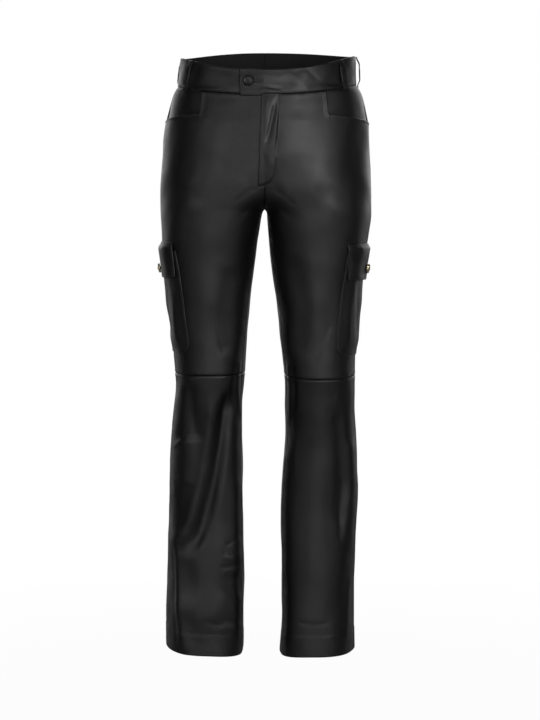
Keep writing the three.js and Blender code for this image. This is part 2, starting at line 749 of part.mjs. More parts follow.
// Bound buttonhole and the button of the waist tab.
const HOLE = { from: -27, to: -1.5, z: -46.8, height: 9, slot: 1.6, thickness: 0.8 };
function welt() {
  const base = TAB_LIFT + SEAM_GAP;
  const lip = (low, high) =>
    wall(6, 2, (u, v) => {
      const x = mix(HOLE.from, HOLE.to, u);
      const z = HOLE.z + mix(high, low, v);
      return [hipPoint(x, z, base + HOLE.thickness), hipPoint(x, z, base)];
    });
  const end = (from, to) =>
    wall(1, 2, (u, v) => {
      const x = mix(from, to, u);
      const z = HOLE.z + mix(HOLE.height / 2, -HOLE.height / 2, v);
      return [hipPoint(x, z, base + HOLE.thickness), hipPoint(x, z, base)];
    });
  return toGeometry(
    Manifold.union([
      toSolid(lip(HOLE.slot / 2, HOLE.height / 2)),
      toSolid(lip(-HOLE.height / 2, -HOLE.slot / 2)),
      toSolid(end(HOLE.from, HOLE.from + 2)),
      toSolid(end(HOLE.to - 2, HOLE.to)),
    ]),
  );
}
add("buttonhole_welt", welt());

// Four-hole button with a raised rim.
const BUTTON = { x: -28.6, z: -47.6, radius: 10, height: 3.2 };
function waistButton() {
  const profile = [
    [0.001, 0], [7.6, 0], [9.4, 0.7], [10, 1.7], [9.5, 2.8], [8.6, 3.2], [7.5, 2.9], [6.4, 2.2], [0.001, 2.1],
  ].map(([r, h]) => new THREE.Vector2(r, h));
  const disc = new THREE.LatheGeometry([new THREE.Vector2(0, 0), ...profile.slice(1, -1), new THREE.Vector2(0, 2.1)], 24);
  disc.rotateX(Math.PI / 2);
  disc.deleteAttribute("uv");
  disc.deleteAttribute("normal");
  let body = toSolid(disc);
  if (body.volume() < 0) throw new Error("button profile is reversed");
  for (const [x, y] of [[2, 2], [-2, 2], [2, -2], [-2, -2]]) {
    body = body.subtract(Manifold.cylinder(8, 0.9, 0.9, 10, true).translate([x, y, 1]));
  }
  return toGeometry(body);
}
const buttonSeat = hipPoint(BUTTON.x, BUTTON.z, TAB_LIFT + SEAM_GAP + HOLE.thickness + SEAM_GAP);
const buttonAngle = frontAngle(RIGHT, -BUTTON.x, BUTTON.z);
add("waist_button", placed(waistButton(), buttonSeat, normal(RIGHT, buttonAngle, BUTTON.z)), horn);

export default group;
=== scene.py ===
"""Leather trousers in their worn form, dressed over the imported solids.

The form is worked out in millimetres with the same tables as the solids, and every mesh
is written in metres. X runs to the wearer's left, Y to the back and Z up.
"""

from __future__ import annotations

import logging
import math
from dataclasses import dataclass, field
from enum import Enum
from typing import Sequence

import bpy
import numpy as np
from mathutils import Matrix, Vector


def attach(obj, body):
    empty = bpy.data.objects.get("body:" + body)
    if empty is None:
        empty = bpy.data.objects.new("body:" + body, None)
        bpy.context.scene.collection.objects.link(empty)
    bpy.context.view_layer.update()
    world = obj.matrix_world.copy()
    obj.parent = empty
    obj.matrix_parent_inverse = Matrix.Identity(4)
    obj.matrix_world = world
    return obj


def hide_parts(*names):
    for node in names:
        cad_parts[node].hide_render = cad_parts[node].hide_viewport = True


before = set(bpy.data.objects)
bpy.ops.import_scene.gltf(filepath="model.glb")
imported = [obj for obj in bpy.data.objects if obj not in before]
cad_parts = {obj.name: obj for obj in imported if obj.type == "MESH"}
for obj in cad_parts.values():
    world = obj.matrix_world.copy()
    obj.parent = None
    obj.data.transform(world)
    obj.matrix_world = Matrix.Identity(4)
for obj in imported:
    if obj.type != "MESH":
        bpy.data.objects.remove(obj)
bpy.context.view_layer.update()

LOG = logging.getLogger("leather_trousers")
Array = np.ndarray
Number = float | Array

MM = 0.001
BODY = "root"
LEATHER = 1.4
BAND_THICKNESS = 3.0
BAND_PROUD = 0.8
FLAP_THICKNESS = 2.4
LOOP_THICKNESS = 1.6
LOOP_WIDTH = 14.0
ON_TOP_GAP = 0.4
SEAM_GAP = 0.3
EDGE_GAP = 0.04
CROTCH_Z = -279.6
DEGREE = math.pi / 180
# Distance given to points that an edge doesn't reach
FAR = 99.0
# Distances from an edge at which the rows of a grid lie
EDGE_STEPS = (0.0, 0.45, 1.0, 1.7, 2.6, 3.8, 5.4)
# Dip, reach and puff of the cloth beside each seam
WAIST_EDGE = (0.9, 2.0, 0.35)
KNEE_EDGE = (1.2, 2.6, 0.45)
OUTSEAM_EDGE = (1.0, 2.4, 0.3)
INSEAM_EDGE = (0.9, 2.2, 0.3)


class Side(Enum):
    """The wearer's side a piece belongs to."""

    RIGHT = -1
    LEFT = 1

    @property
    def word(self) -> str:
        """Name of the side as the solids spell it."""
        return self.name.lower()


class Face(Enum):
    """Front or back of a leg."""

    FRONT = 1
    BACK = -1

    @property
    def word(self) -> str:
        """Name of the face as the solids spell it."""
        return self.name.lower()


def mix(start: Number, end: Number, share: Number) -> Number:
    """Value a share of the way from start to end."""
    return start + (end - start) * share


def ease(low: float, high: float, value: Number) -> Array:
    """Smooth step of a value from 0 at low to 1 at high."""
    share = np.clip((value - low) / (high - low), 0.0, 1.0)
    return share * share * (3.0 - 2.0 * share)


def bent(value: Number, power: Number) -> Array:
    """Power of a signed value that keeps its sign."""
    return np.sign(value) * np.abs(value) ** power


def bell(value: Number, width: Number) -> Array:
    """Rounded bump of height 1 at zero."""
    return np.exp(-((value / width) ** 2))


def rolled(distance: Array, reach: float) -> Array:
    """How far a cut edge has rolled in: 1 at the edge, 0 from reach on."""
    return np.clip(1 - distance / reach, 0, 1) ** 2


def unit(vectors: Array) -> Array:
    """Vectors scaled to length 1."""
    return vectors / np.maximum(np.linalg.norm(vectors, axis=-1, keepdims=True), 1e-9)


class Curve:
    """Smooth curve through rows of [position, value], without overshoot."""

    def __init__(self, rows: Sequence[Sequence[float]]) -> None:
        """Sort the rows and work out the tangents.

        Args:
            rows: positions with their values, in any order.
        """
        table = sorted(rows, key=lambda row: row[0])
        self.at = np.array([row[0] for row in table], float)
        self.value = np.array([row[1] for row in table], float)
        slope = np.diff(self.value) / np.diff(self.at)
        before, after = slope[:-1], slope[1:]
        total = before + after
        product = before * after
        inner = np.where(product > 0, 2 * product / np.where(total == 0, 1, total), 0.0)
        self.tangent = np.concatenate([[slope[0]], inner, [slope[-1]]])

    def __call__(self, position: Number) -> Array:
        """Value of the curve at a position or an array of them.

        Args:
            position: one or more positions.

        Returns:
            The value at each.
        """
        place = np.clip(position, self.at[0], self.at[-1])
        low = np.clip(np.searchsorted(self.at, place) - 1, 0, len(self.at) - 2)
        width = self.at[low + 1] - self.at[low]
        t = (place - self.at[low]) / width
        t2, t3 = t * t, t * t * t
        return (
            (2 * t3 - 3 * t2 + 1) * self.value[low]
            + (t3 - 2 * t2 + t) * width * self.tangent[low]
            + (3 * t2 - 2 * t3) * self.value[low + 1]
            + (t3 - t2) * width * self.tangent[low + 1]
        )


class Ripple:
    """Smooth unevenness in space, a sum of waves in seeded directions."""

    def __init__(self, seed: int, wavelength: float, waves: int = 14) -> None:
        """Draw the waves.

        Args:
            seed: seed of the random draw.
            wavelength: usual length of a wave in millimetres.
            waves: number of waves that are added up.
        """
        draw = np.random.default_rng(seed)
        direction = unit(draw.normal(size=(waves, 3)))
        length = wavelength * draw.uniform(0.7, 1.5, size=(waves, 1))
        self.turn = 2 * math.pi * direction / length
        self.phase = draw.uniform(0, 2 * math.pi, size=waves)
        self.scale = math.sqrt(2.0 / waves)

    def __call__(self, points: Array) -> Array:
        """Height of the unevenness at points, about 1 at most."""
        return np.sin(points @ self.turn.T + self.phase).sum(axis=-1) * self.scale


@dataclass(frozen=True)
class Fold:
    """A trough or ridge of the worn leather, seen from the front or the back."""

    side: Side
    face: Face
    height: float
    width: float
    path: Sequence[tuple[float, float]]
    lean: float = 0.0
    fade: float = 0.16

    def at(self, x: Array, z: Array, facing: Array) -> Array:
        """Height of the fold at points of its side.

        Args:
            x: signed distance from the centre plane.
            z: height.
            facing: sine of the angle round the leg, plus at the front.

        Returns:
            Height out of the cloth.
        """
        nearest = np.full(np.shape(x), 3.0 * self.width * (1 + abs(self.lean)))
        reach = nearest.copy()
        along = np.zeros(np.shape(x))
        hand = np.zeros(np.shape(x))
        legs = len(self.path) - 1
        for number in range(legs):
            (x0, z0), (x1, z1) = self.path[number], self.path[number + 1]
            run, rise = x1 - x0, z1 - z0
            t = np.clip(((x - x0) * run + (z - z0) * rise) / (run * run + rise * rise), 0, 1)
            distance = np.hypot(x - mix(x0, x1, t), z - mix(z0, z1, t))
            closer = distance < nearest
            nearest = np.where(closer, distance, nearest)
            along = np.where(closer, (number + t) / legs, along)
            hand = np.where(closer, np.sign((x - x0) * rise - (z - z0) * run), hand)
        ends = ease(0, self.fade, along) * ease(0, self.fade, 1 - along)
        shown = ease(0, 0.3, self.face.value * facing)
        width = self.width * (1 + self.lean * hand)
        inside = nearest < reach
        return np.where(inside, self.height * ends * shown * bell(nearest, width), 0.0)


def _folds(side: Side, face: Face, rows: Sequence[Sequence]) -> list[Fold]:
    """Folds of one side and face from rows of height, width, path, lean and fade."""
    return [Fold(side, face, *row) for row in rows]


# Each row: height, width, path, and where they differ from a plain fold, lean and fade
FOLDS: list[Fold] = [
    *_folds(Side.RIGHT, Face.FRONT, [
        (-7.0, 12.0, [(-60, -604), (-80, -680), (-98, -782), (-121, -867), (-150, -932)]),
        (5.0, 12.0, [(-92, -606), (-109, -750), (-135, -850), (-158, -915)]),
        (-4.0, 11.0, [(-140, -600), (-135, -650), (-125, -715)]),
        (4.0, 15.0, [(-150, -700), (-140, -745), (-148, -800)]),
        (6.0, 14.0, [(-166, -850), (-160, -960), (-154, -1050), (-146, -1120)]),
        (-3.0, 22.0, [(-52, -950), (-60, -1010), (-66, -1060)]),
        (-3.0, 17.0, [(-58, -380), (-75, -470), (-66, -560)]),
    ]),
    *_folds(Side.LEFT, Face.FRONT, [
        (4.0, 9.0, [(158, -700), (162, -790), (155, -925)]),
        (-4.0, 13.0, [(136, -640), (142, -760), (138, -880)]),
        (3.0, 24.0, [(100, -620), (98, -800), (94, -1000)]),
        (-3.0, 17.0, [(50, -360), (72, -460), (64, -560)]),
    ]),
    *_folds(Side.RIGHT, Face.BACK, [
        (-6.0, 13.0, [(-50, -300), (-110, -322), (-170, -318)]),
        (-6.0, 12.0, [(-52, -548), (-105, -566), (-158, -560)]),
        (-5.0, 14.0, [(-150, -625), (-110, -700), (-70, -840)]),
        (4.0, 16.0, [(-120, -640), (-100, -820), (-112, -1010)]),
    ]),
    *_folds(Side.LEFT, Face.BACK, [
        (-6.0, 13.0, [(44, -304), (104, -326), (172, -320)]),
        (-6.0, 12.0, [(46, -556), (98, -572), (156, -562)]),
        (-5.0, 14.0, [(58, -630), (100, -716), (138, -850)]),
        (4.0, 16.0, [(108, -650), (92, -830), (104, -1000)]),
    ]),
]

# Smaller creases that only the dressed cloth shows
CREASES: list[Fold] = [
    *_folds(Side.RIGHT, Face.FRONT, [
        (1.2, 3.5, [(-150, -704), (-160, -716), (-171, -726)]),
        (-6.0, 9.5, [
            (-62, -606), (-69, -654), (-78, -711), (-88, -767), (-100, -823), (-116, -880),
            (-138, -930),
        ]),
        (2.0, 8.0, [(-74, -640), (-92, -740), (-113, -820), (-138, -890)]),
        (1.8, 26.0, [(-20, -230), (-90, -226), (-230, -232)]),
        (4.0, 32.0, [(-36, -1034), (-100, -1026), (-176, -1020)]),
        (3.0, 11.0, [(-56, -760), (-54, -900), (-53, -1000), (-52, -1110)]),
        (1.8, 3.2, [(-45, -556), (-50, -612), (-46, -676)]),
        (-1.6, 3.4, [(-53, -562), (-59, -610), (-54, -660)]),
        (1.6, 4.0, [(-160, -880), (-158, -960), (-153, -1040), (-150, -1090)]),
        (-1.6, 4.0, [(-168, -900), (-166, -970), (-163, -1050), (-160, -1100)]),
        (-0.9, 4.0, [(-44, -886), (-58, -897), (-72, -906)]),
        (0.9, 4.0, [(-42, -925), (-60, -930), (-80, -926)]),
        (-0.9, 5.0, [(-46, -938), (-62, -944), (-84, -946)]),
        (-0.8, 4.0, [(-104, -447), (-88, -500), (-72, -552)]),
        (-1.0, 5.0, [(-110, -1040), (-92, -1052), (-74, -1050)]),
        (0.8, 4.0, [(-60, -985), (-50, -1000), (-44, -1020)]),
        (-0.8, 5.0, [(-8, -262), (-26, -274), (-52, -300)]),
        (-0.7, 4.0, [(-14, -240), (-34, -252), (-60, -270)]),
    ]),
    *_folds(Side.LEFT, Face.FRONT, [
        (2.2, 26.0, [(16, -238), (90, -234), (230, -238)]),
        (1.8, 3.2, [(43, -560), (48, -618), (44, -690)]),
        (-1.6, 3.4, [(51, -566), (57, -620), (52, -676)]),
        (-0.7, 4.0, [(60, -1046), (90, -1052), (124, -1046)]),
        (1.4, 3.5, [(158, -800), (150, -860), (146, -905)]),
        (-1.4, 4.5, [(150, -770), (143, -840), (138, -900)]),
        (1.6, 4.0, [(160, -960), (156, -1020), (150, -1090)]),
        (0.7, 4.0, [(48, -640), (58, -700), (54, -780)]),
        (-0.9, 5.0, [(122, -486), (108, -530), (88, -566)]),
        (-0.8, 5.0, [(8, -262), (26, -274), (50, -300)]),
        (-0.6, 4.0, [(14, -242), (36, -256), (58, -276)]),
    ]),
    *_folds(Side.RIGHT, Face.BACK, [
        (2.0, 7.0, [(-60, -284), (-112, -304), (-166, -300)]),
        (2.5, 7.0, [(-56, -530), (-106, -546), (-156, -540)]),
        (-3.0, 7.0, [(-60, -592), (-108, -604), (-150, -594)]),
        (2.0, 6.0, [(-58, -574), (-104, -586), (-150, -578)]),
        (-2.0, 8.0, [(-90, -1000), (-130, -930), (-160, -860)]),
    ]),
    *_folds(Side.LEFT, Face.BACK, [
        (2.0, 7.0, [(54, -286), (104, -308), (164, -302)]),
        (2.5, 7.0, [(50, -538), (100, -552), (152, -544)]),
        (-3.0, 7.0, [(52, -600), (104, -612), (150, -600)]),
        (2.0, 6.0, [(52, -580), (100, -592), (150, -584)]),
        (-2.0, 8.0, [(70, -1010), (112, -940), (150, -870)]),
    ]),
]


# Columns: z, front (reach forward), back (reach behind), middle (y of the widest
# point), power (2 is an ellipse, more is squarer), corner (front of the inside leg)
DEPTH_TABLE = [
    (30, 105, 103, 0, 2.2, 2.2),
    (0, 108, 108, 0, 2.2, 2.2),
    (-50, 113, 121, 3, 2.2, 2.2),
    (-96, 118, 132, 7, 2.25, 2.25),
    (-126, 120, 138, 9, 2.3, 2.3),
    (-171, 120, 142, 11, 2.3, 2.3),
    (-200, 118, 141, 11, 2.3, 2.5),
    (-227, 115, 137, 10, 2.3, 2.8),
    (-250, 112, 131, 9, 2.25, 3.1),
    (-280, 108, 120, 6, 2.2, 3.3),
    (-309, 105, 110, 3, 2.15, 2.8),
    (-354, 100, 101, 1, 2.15, 2.3),
    (-399, 96, 95, 0, 2.15, 2.15),
    (-450, 92, 87, -2, 2.15, 2.15),
    (-511, 88, 77, -6, 2.2, 2.2),
    (-556, 87, 69, -9, 2.2, 2.2),
    (-590, 87, 66, -10, 2.2, 2.2),
    (-630, 82, 70, -7, 2.2, 2.2),
    (-692, 74, 80, 0, 2.25, 2.5),
    (-761, 70, 87, 4, 2.3, 2.75),
    (-852, 72, 90, 7, 2.3, 3.0),
    (-943, 79, 92, 10, 2.3, 3.2),
    (-1035, 87, 95, 12, 2.35, 3.4),
    (-1120, 96, 98, 14, 2.5, 3.6),
]
SPREAD_TABLE = [
    (30, 0), (-50, 0), (-66, 0.008), (-96, 0.022), (-126, 0.05), (-171, 0.12),
    (-200, 0.2), (-227, 0.34), (-250, 0.55), (-262, 0.71), (-272, 0.88), (CROTCH_Z, 1),
]
OUTER_TABLE = {
    Side.RIGHT: [
        (30, 150), (0, 154.7), (-30, 157.6), (-54, 161.8), (-62, 167.2), (-72, 171.6),
        (-96, 178.3), (-126, 185), (-171, 189.7), (-227, 193.7), (-286, 194.5), (-331, 192),
        (-376, 186), (-421, 180), (-466, 176.5), (-511, 172.3), (-556, 168.5), (-602, 166.5),
        (-647, 170.5),
        (-692, 174.2), (-761, 178.2), (-852, 180.2), (-943, 182.9), (-1035, 186.8),
        (-1120, 188.5),
    ],
    Side.LEFT: [
        (30, 166), (0, 168.5), (-25, 168.7), (-50, 170.6), (-58, 176), (-68, 181.2),
        (-96, 188), (-126, 193.1), (-171, 196.5), (-227, 199), (-286, 199.7), (-331, 194.5),
        (-376, 186), (-421, 178.5), (-466, 173.8), (-511, 171.3), (-556, 169.3), (-602, 168.6),
        (-647, 169.2), (-692, 171.2), (-761, 174), (-806, 175.8), (-852, 174.4),
        (-943, 170.1), (-1035, 169.4), (-1120, 169.4),
    ],
}
INNER_TABLE = {
    Side.RIGHT: [
        (CROTCH_Z, 0), (-283, 3.2), (-288, 5.6), (-309, 9.1), (-331, 11.9), (-376, 17.8),
        (-421, 24), (-466, 28.3), (-511, 32.7), (-556, 35.3), (-602, 38.4), (-647, 41.8),
        (-692, 42.2), (-761, 40.8), (-852, 41.2), (-943, 38.8), (-1035, 40), (-1120, 41.6),
    ],
    Side.LEFT: [
        (CROTCH_Z, 0), (-283, 3.2), (-288, 5.6), (-309, 6.5), (-331, 8), (-376, 11.8),
        (-421, 17.5), (-466, 24.2), (-511, 28.4), (-556, 33.1), (-602, 37), (-647, 37.8),
        (-692, 39.4), (-761, 34.7), (-806, 32), (-852, 30.4), (-943, 32.5), (-1035, 32.3),
        (-1120, 29.5),
    ],
}
OUTSEAM_TABLE = {
    Side.RIGHT: [(0, 0), (-250, 1), (-364, 4), (-430, 5), (-700, 5), (-1108, 3)],
    Side.LEFT: [
        (0, 0), (-250, 6), (-345, 12), (-411, 10.5), (-500, 11), (-550, 9.5), (-700, 12),
        (-1108, 16),
    ],
}
INSEAM_TABLE = [(CROTCH_Z, 0), (-330, 11), (-400, 20), (-480, 22), (-1108, 22)]
WAIST_SEAM = {Side.RIGHT: -54.0, Side.LEFT: -50.0}
WAIST_SEAM_FRONT = -70.5
WAIST_SEAM_BACK = -34.0
KNEE_SEAM = {Side.RIGHT: (-586.0, 1.0), Side.LEFT: (-590.0, 5.0)}
# Height of the hem at the outseam, mid front, inseam and mid back
HEM_TABLE = {
    Side.RIGHT: (-1097.0, -1108.0, -1113.0, -1105.0),
    Side.LEFT: (-1109.0, -1111.0, -1115.0, -1108.0),
}


class WornForm:
    """The form that the leather takes when it is worn, the same as in the solids."""

    TURN = 0.02
    RISE = 1.5

    def __init__(self) -> None:
        """Make the curves of the form from its tables."""
        depth = [Curve([(row[0], row[n]) for row in DEPTH_TABLE]) for n in range(1, 6)]
        self.front, self.back, self.middle, self.power, self.corner = depth
        self.spread = Curve(SPREAD_TABLE)
        self.outer = {side: Curve(OUTER_TABLE[side]) for side in Side}
        self.inner = {side: Curve(INNER_TABLE[side]) for side in Side}
        self.outseam = {side: Curve(OUTSEAM_TABLE[side]) for side in Side}
        self.inseam = Curve(INSEAM_TABLE)
        self.waves = [(Ripple(11, 95.0), 0.55), (Ripple(12, 38.0), 0.16)]

    def section(self, side: Side, z: Array) -> tuple[Array, Array]:
        """Half width and middle of a leg's section at a height.

        Args:
            side: the leg.
            z: height.

        Returns:
            The two distances.
        """
        outer = self.outer[side](z)
        half = np.where(
            z < CROTCH_Z, (outer - self.inner[side](z)) / 2, outer / (1 + self.spread(z))
        )
        return half, outer - half

    def form_point(self, side: Side, angle: Array, z: Array) -> Array:
        """Point of the smooth form.

        Args:
            side: the leg.
            angle: 0 at the innermost line, a quarter turn at the front.
            z: height.

        Returns:
            Points in millimetres.
        """
        angle, z = np.broadcast_arrays(angle, z)
        half, centre = self.section(side, z)
        cosine, sine = np.cos(angle), np.sin(angle)
        power = np.where((cosine > 0) & (sine > 0), self.corner(z), self.power(z))
        across, forward = bent(cosine, 2 / power), bent(sine, 2 / power)
        middle = self.middle(z)
        depth = np.where(forward > 0, self.front(z) + middle, self.back(z) - middle)
        x = side.value * (centre - half * across)
        return np.stack([x, middle - depth * forward, z.astype(float)], axis=-1)

    def skin(self, side: Side, angle: Array, z: Array) -> Array:
        """Outer surface of the cloth, with its folds.

        Args:
            side: the leg.
            angle: angle round the leg.
            z: height.

        Returns:
            The points.
        """
        point = self.form_point(side, angle, z)
        before = self.form_point(side, angle - self.TURN, z)
        after = self.form_point(side, angle + self.TURN, z)
        step = after - before
        out = unit(np.stack([step[..., 1], -step[..., 0], np.zeros(step.shape[:-1])], -1))
        facing = np.sin(angle) * np.ones(point.shape[:-1])
        height = np.zeros(point.shape[:-1])
        for fold in FOLDS + CREASES:
            if fold.side is side:
                height += fold.at(point[..., 0], point[..., 2], facing)
        for wave, size in self.waves:
            height += size * wave(point)
        return point + out * (side.value * height)[..., None]

    def normal(self, side: Side, angle: Array, z: Array) -> Array:
        """Outward normal of the cloth.

        Args:
            side: the leg.
            angle: angle round the leg.
            z: height.

        Returns:
            Unit vectors.
        """
        turned = self.skin(side, angle + self.TURN, z) - self.skin(side, angle - self.TURN, z)
        raised = self.skin(side, angle, z + self.RISE) - self.skin(side, angle, z - self.RISE)
        return unit(np.cross(turned, raised) * side.value)

    def spacing(self, side: Side, angle: Array, z: Array) -> Array:
        """Length of cloth per radian round a section.

        Args:
            side: the leg.
            angle: angle round the leg.
            z: height.

        Returns:
            Millimetres per radian.
        """
        step = self.form_point(side, angle + self.TURN, z)
        step = step - self.form_point(side, angle - self.TURN, z)
        return np.linalg.norm(step, axis=-1) / (2 * self.TURN)

    def front_angle(self, side: Side, distance: Array, z: Array) -> Array:
        """Angle where a section stands a distance from the centre plane, in front.

        Args:
            side: the leg.
            distance: distance from the centre plane.
            z: height.

        Returns:
            The angle.
        """
        half, centre = self.section(side, z)
        share = np.clip((centre - distance) / half, -1, 1)
        power = np.where(share > 0, self.corner(z), self.power(z))
        return np.arccos(bent(share, power / 2))

    def outseam_angle(self, side: Side, z: Array) -> Array:
        """Angle of the outseam."""
        return math.pi - self.outseam[side](z) * DEGREE

    def side_angle(self, side: Side, distance: Array, z: Array) -> Array:
        """Angle a length of cloth away from the outseam, forward when positive.

        Args:
            side: the leg.
            distance: length of cloth.
            z: height.

        Returns:
            The angle.
        """
        steps = 24
        angle = self.outseam_angle(side, z) + 0 * distance
        for _ in range(steps):
            angle = angle - distance / steps / self.spacing(side, angle, z)
        return angle

    def centre_angle(self, side: Side, z: Array) -> Array:
        """Angle of the centre seam in front."""
        return self.front_angle(side, SEAM_GAP / 2, z)

    def inseam_angle(self, side: Side, face: Face, z: Array) -> Array:
        """Angle of a panel's inner edge: the centre seam, then the inseam.

        Args:
            side: the leg.
            face: front or back.
            z: height.

        Returns:
            The angle.
        """
        low = self.inseam(z) * DEGREE
        low = low + face.value * SEAM_GAP / 2 / self.spacing(side, low, z)
        return np.where(z >= CROTCH_Z, face.value * self.centre_angle(side, z), low)

    def waist_seam(self, side: Side, position: Array) -> Array:
        """Height of the waist seam from -1, centre back, to 1, centre front.

        Args:
            side: the leg.
            position: place from -1, centre back, to 1, centre front.

        Returns:
            The height.
        """
        away = np.sin(np.abs(position) * math.pi / 2) ** 2
        end = np.where(position > 0, WAIST_SEAM_FRONT, WAIST_SEAM_BACK)
        return mix(WAIST_SEAM[side], end, away)

    def knee_seam(self, side: Side, position: Array) -> Array:
        """Height of the knee seam."""
        level, sag = KNEE_SEAM[side]
        return level - np.where(position > 0, sag, -3.0) * np.sin(np.abs(position) * math.pi)

    def hem_line(self, side: Side, position: Array) -> Array:
        """Height of the hem.

        Args:
            side: the leg.
            position: place from -1, centre back, to 1, centre front.

        Returns:
            The height.
        """
        outseam, front, inseam, back = HEM_TABLE[side]
        share = np.abs(position)
        middle = np.where(position > 0, front, back) - (outseam + inseam) / 2
        return mix(outseam, inseam, share) + middle * np.sin(share * math.pi)


FORM = WornForm()


# Meshes


def graded(
    length: float, step: float, near_start: bool = True, near_end: bool = True
) -> Array:
    """Shares of a length, closer together beside its edges.

    Args:
        length: the length in millimetres.
        step: spacing away from the edges.
        near_start: close up at the start.
        near_end: close up at the end.

    Returns:
        Shares from 0 to 1.
    """
    edge = np.array(EDGE_STEPS)
    start = edge if near_start else edge[:1]
    end = edge if near_end else edge[:1]
    free = length - start[-1] - end[-1]
    count = max(2, round(free / step))
    inner = start[-1] + free * np.arange(1, count) / count
    return np.concatenate([start, inner, length - end[::-1]]) / length


def run_along(points: Array, axis: int) -> Array:
    """Length of cloth from the first row or column of a grid."""
    steps = np.linalg.norm(np.diff(points, axis=axis), axis=-1)
    return np.insert(np.cumsum(steps, axis=axis), 0, 0.0, axis=axis)


@dataclass
class Grid:
    """A grid of surface points with its outward normals."""

    points: Array
    normals: Array
    keep: Array | None = None

    @property
    def from_left(self) -> Array:
        """Length of cloth from the first column."""
        return run_along(self.points, 1)

    @property
    def from_right(self) -> Array:
        """Length of cloth from the last column."""
        return run_along(self.points[:, ::-1], 1)[:, ::-1]

    @property
    def from_top(self) -> Array:
        """Length of cloth from the first row."""
        return run_along(self.points, 0)

    @property
    def from_bottom(self) -> Array:
        """Length of cloth from the last row."""
        return run_along(self.points[::-1], 0)[::-1]

    def raised(self, height: Array) -> Array:
        """Points at a height over the grid."""
        return self.points + self.normals * np.asarray(height)[..., None]

    def part(self, place: tuple[slice, slice]) -> Grid:
        """Some rows and columns as a grid of their own."""
        return Grid(self.points[place], self.normals[place])

    def line(
        self, distance: Array, level: float, height: Array, rows: bool
    ) -> tuple[Array, Array]:
        """Line over the surface at one level of a distance.

        Args:
            distance: distance of each point from an edge.
            level: distance the line keeps.
            height: height of the surface.
            rows: find one point in each row, or else in each column.

        Returns:
            Points and normals along the line.
        """
        surface, out, away = self.raised(height), self.normals, distance
        if not rows:
            surface, out, away = surface.swapaxes(0, 1), out.swapaxes(0, 1), away.T
        found, facing = [], []
        for point, normal, far in zip(surface, out, away):
            over = far - level
            cross = np.nonzero(over[:-1] * over[1:] <= 0)[0]
            if len(cross):
                i = cross[0]
                t = over[i] / (over[i] - over[i + 1] + 1e-12)
                found.append(mix(point[i], point[i + 1], t))
                facing.append(mix(normal[i], normal[i + 1], t))
        return np.array(found), unit(np.array(facing))


def on_skin(side: Side, angle: Array, z: Array) -> Grid:
    """Grid of the worn skin with its normals."""
    return Grid(FORM.skin(side, angle, z), FORM.normal(side, angle, z))


def make_object(
    name: str, vertices: Array, faces: Sequence, inside: Array | None = None
) -> bpy.types.Object:
    """Object of a mesh in metres, shaded smooth.

    Args:
        name: name of the piece.
        vertices: points in millimetres.
        faces: faces as lists of point numbers.
        inside: for each face, 1 where it takes the second material.

    Returns:
        The new object, linked to the scene.
    """
    mesh = bpy.data.meshes.new(name)
    rings = faces if isinstance(faces, list) else faces.tolist()
    mesh.from_pydata((vertices * MM).tolist(), [], rings)
    if inside is not None:
        mesh.polygons.foreach_set("material_index", inside.astype(np.int32))
    mesh.polygons.foreach_set("use_smooth", np.ones(len(mesh.polygons), bool))
    mesh.update()
    obj = bpy.data.objects.new(name, mesh)
    bpy.context.scene.collection.objects.link(obj)
    return obj


def shell(
    name: str, outer: Array, inner: Array, keep: Array | None = None
) -> bpy.types.Object:
    """Closed shell between two grids of points.

    Args:
        name: name of the piece.
        outer: outer points, rows by columns.
        inner: inner points.
        keep: cells of the grid that are cloth, all of them when not given.

    Returns:
        The shell, its inner faces in the second material.
    """
    rows, columns = outer.shape[:2]
    if keep is None:
        keep = np.ones((rows - 1, columns - 1), bool)
    number = np.arange(rows * columns).reshape(rows, columns)
    shift = rows * columns
    a, b = number[:-1, :-1][keep], number[1:, :-1][keep]
    c, d = number[1:, 1:][keep], number[:-1, 1:][keep]
    front = np.stack([a, b, c, d], -1)
    behind = np.stack([a, d, c, b], -1) + shift
    padded = np.pad(keep, 1)
    rims = []
    for beside, first, second in (
        (padded[:-2, 1:-1], number[:-1, 1:], number[:-1, :-1]),
        (padded[2:, 1:-1], number[1:, :-1], number[1:, 1:]),
        (padded[1:-1, :-2], number[:-1, :-1], number[1:, :-1]),
        (padded[1:-1, 2:], number[1:, 1:], number[:-1, 1:]),
    ):
        open_side = keep & ~beside
        one, two = first[open_side], second[open_side]
        rims.append(np.stack([two, one, one + shift, two + shift], -1))
    faces = np.concatenate([front, behind, *rims])
    inside = np.zeros(len(faces), int)
    inside[len(front) : len(front) + len(behind)] = 1
    vertices = np.concatenate([outer.reshape(-1, 3), inner.reshape(-1, 3)])
    used, packed = np.unique(faces, return_inverse=True)
    vertices, faces = vertices[used], packed.reshape(faces.shape)
    corners = vertices[faces]
    area = np.cross(corners[:, 1] - corners[:, 0], corners[:, 2] - corners[:, 0])
    area = area + np.cross(corners[:, 2] - corners[:, 0], corners[:, 3] - corners[:, 0])
    if (corners.mean(axis=1) * area).sum() < 0:
        faces = faces[:, ::-1]
    return make_object(name, vertices, faces, inside)


def seam_profile(distance: Array, dip: float, reach: float, puff: float) -> Array:
    """Height of cloth beside a sewn seam: it rolls in, then stands up a little."""
    return -dip * rolled(distance, reach) + puff * bell(distance - 5.0, 3.2)


def sewn(*edges: tuple[Array, Sequence[float]]) -> Array:
    """Height of cloth beside its seams, from the distance and kind of each."""
    return sum(seam_profile(distance, *kind) for distance, kind in edges)


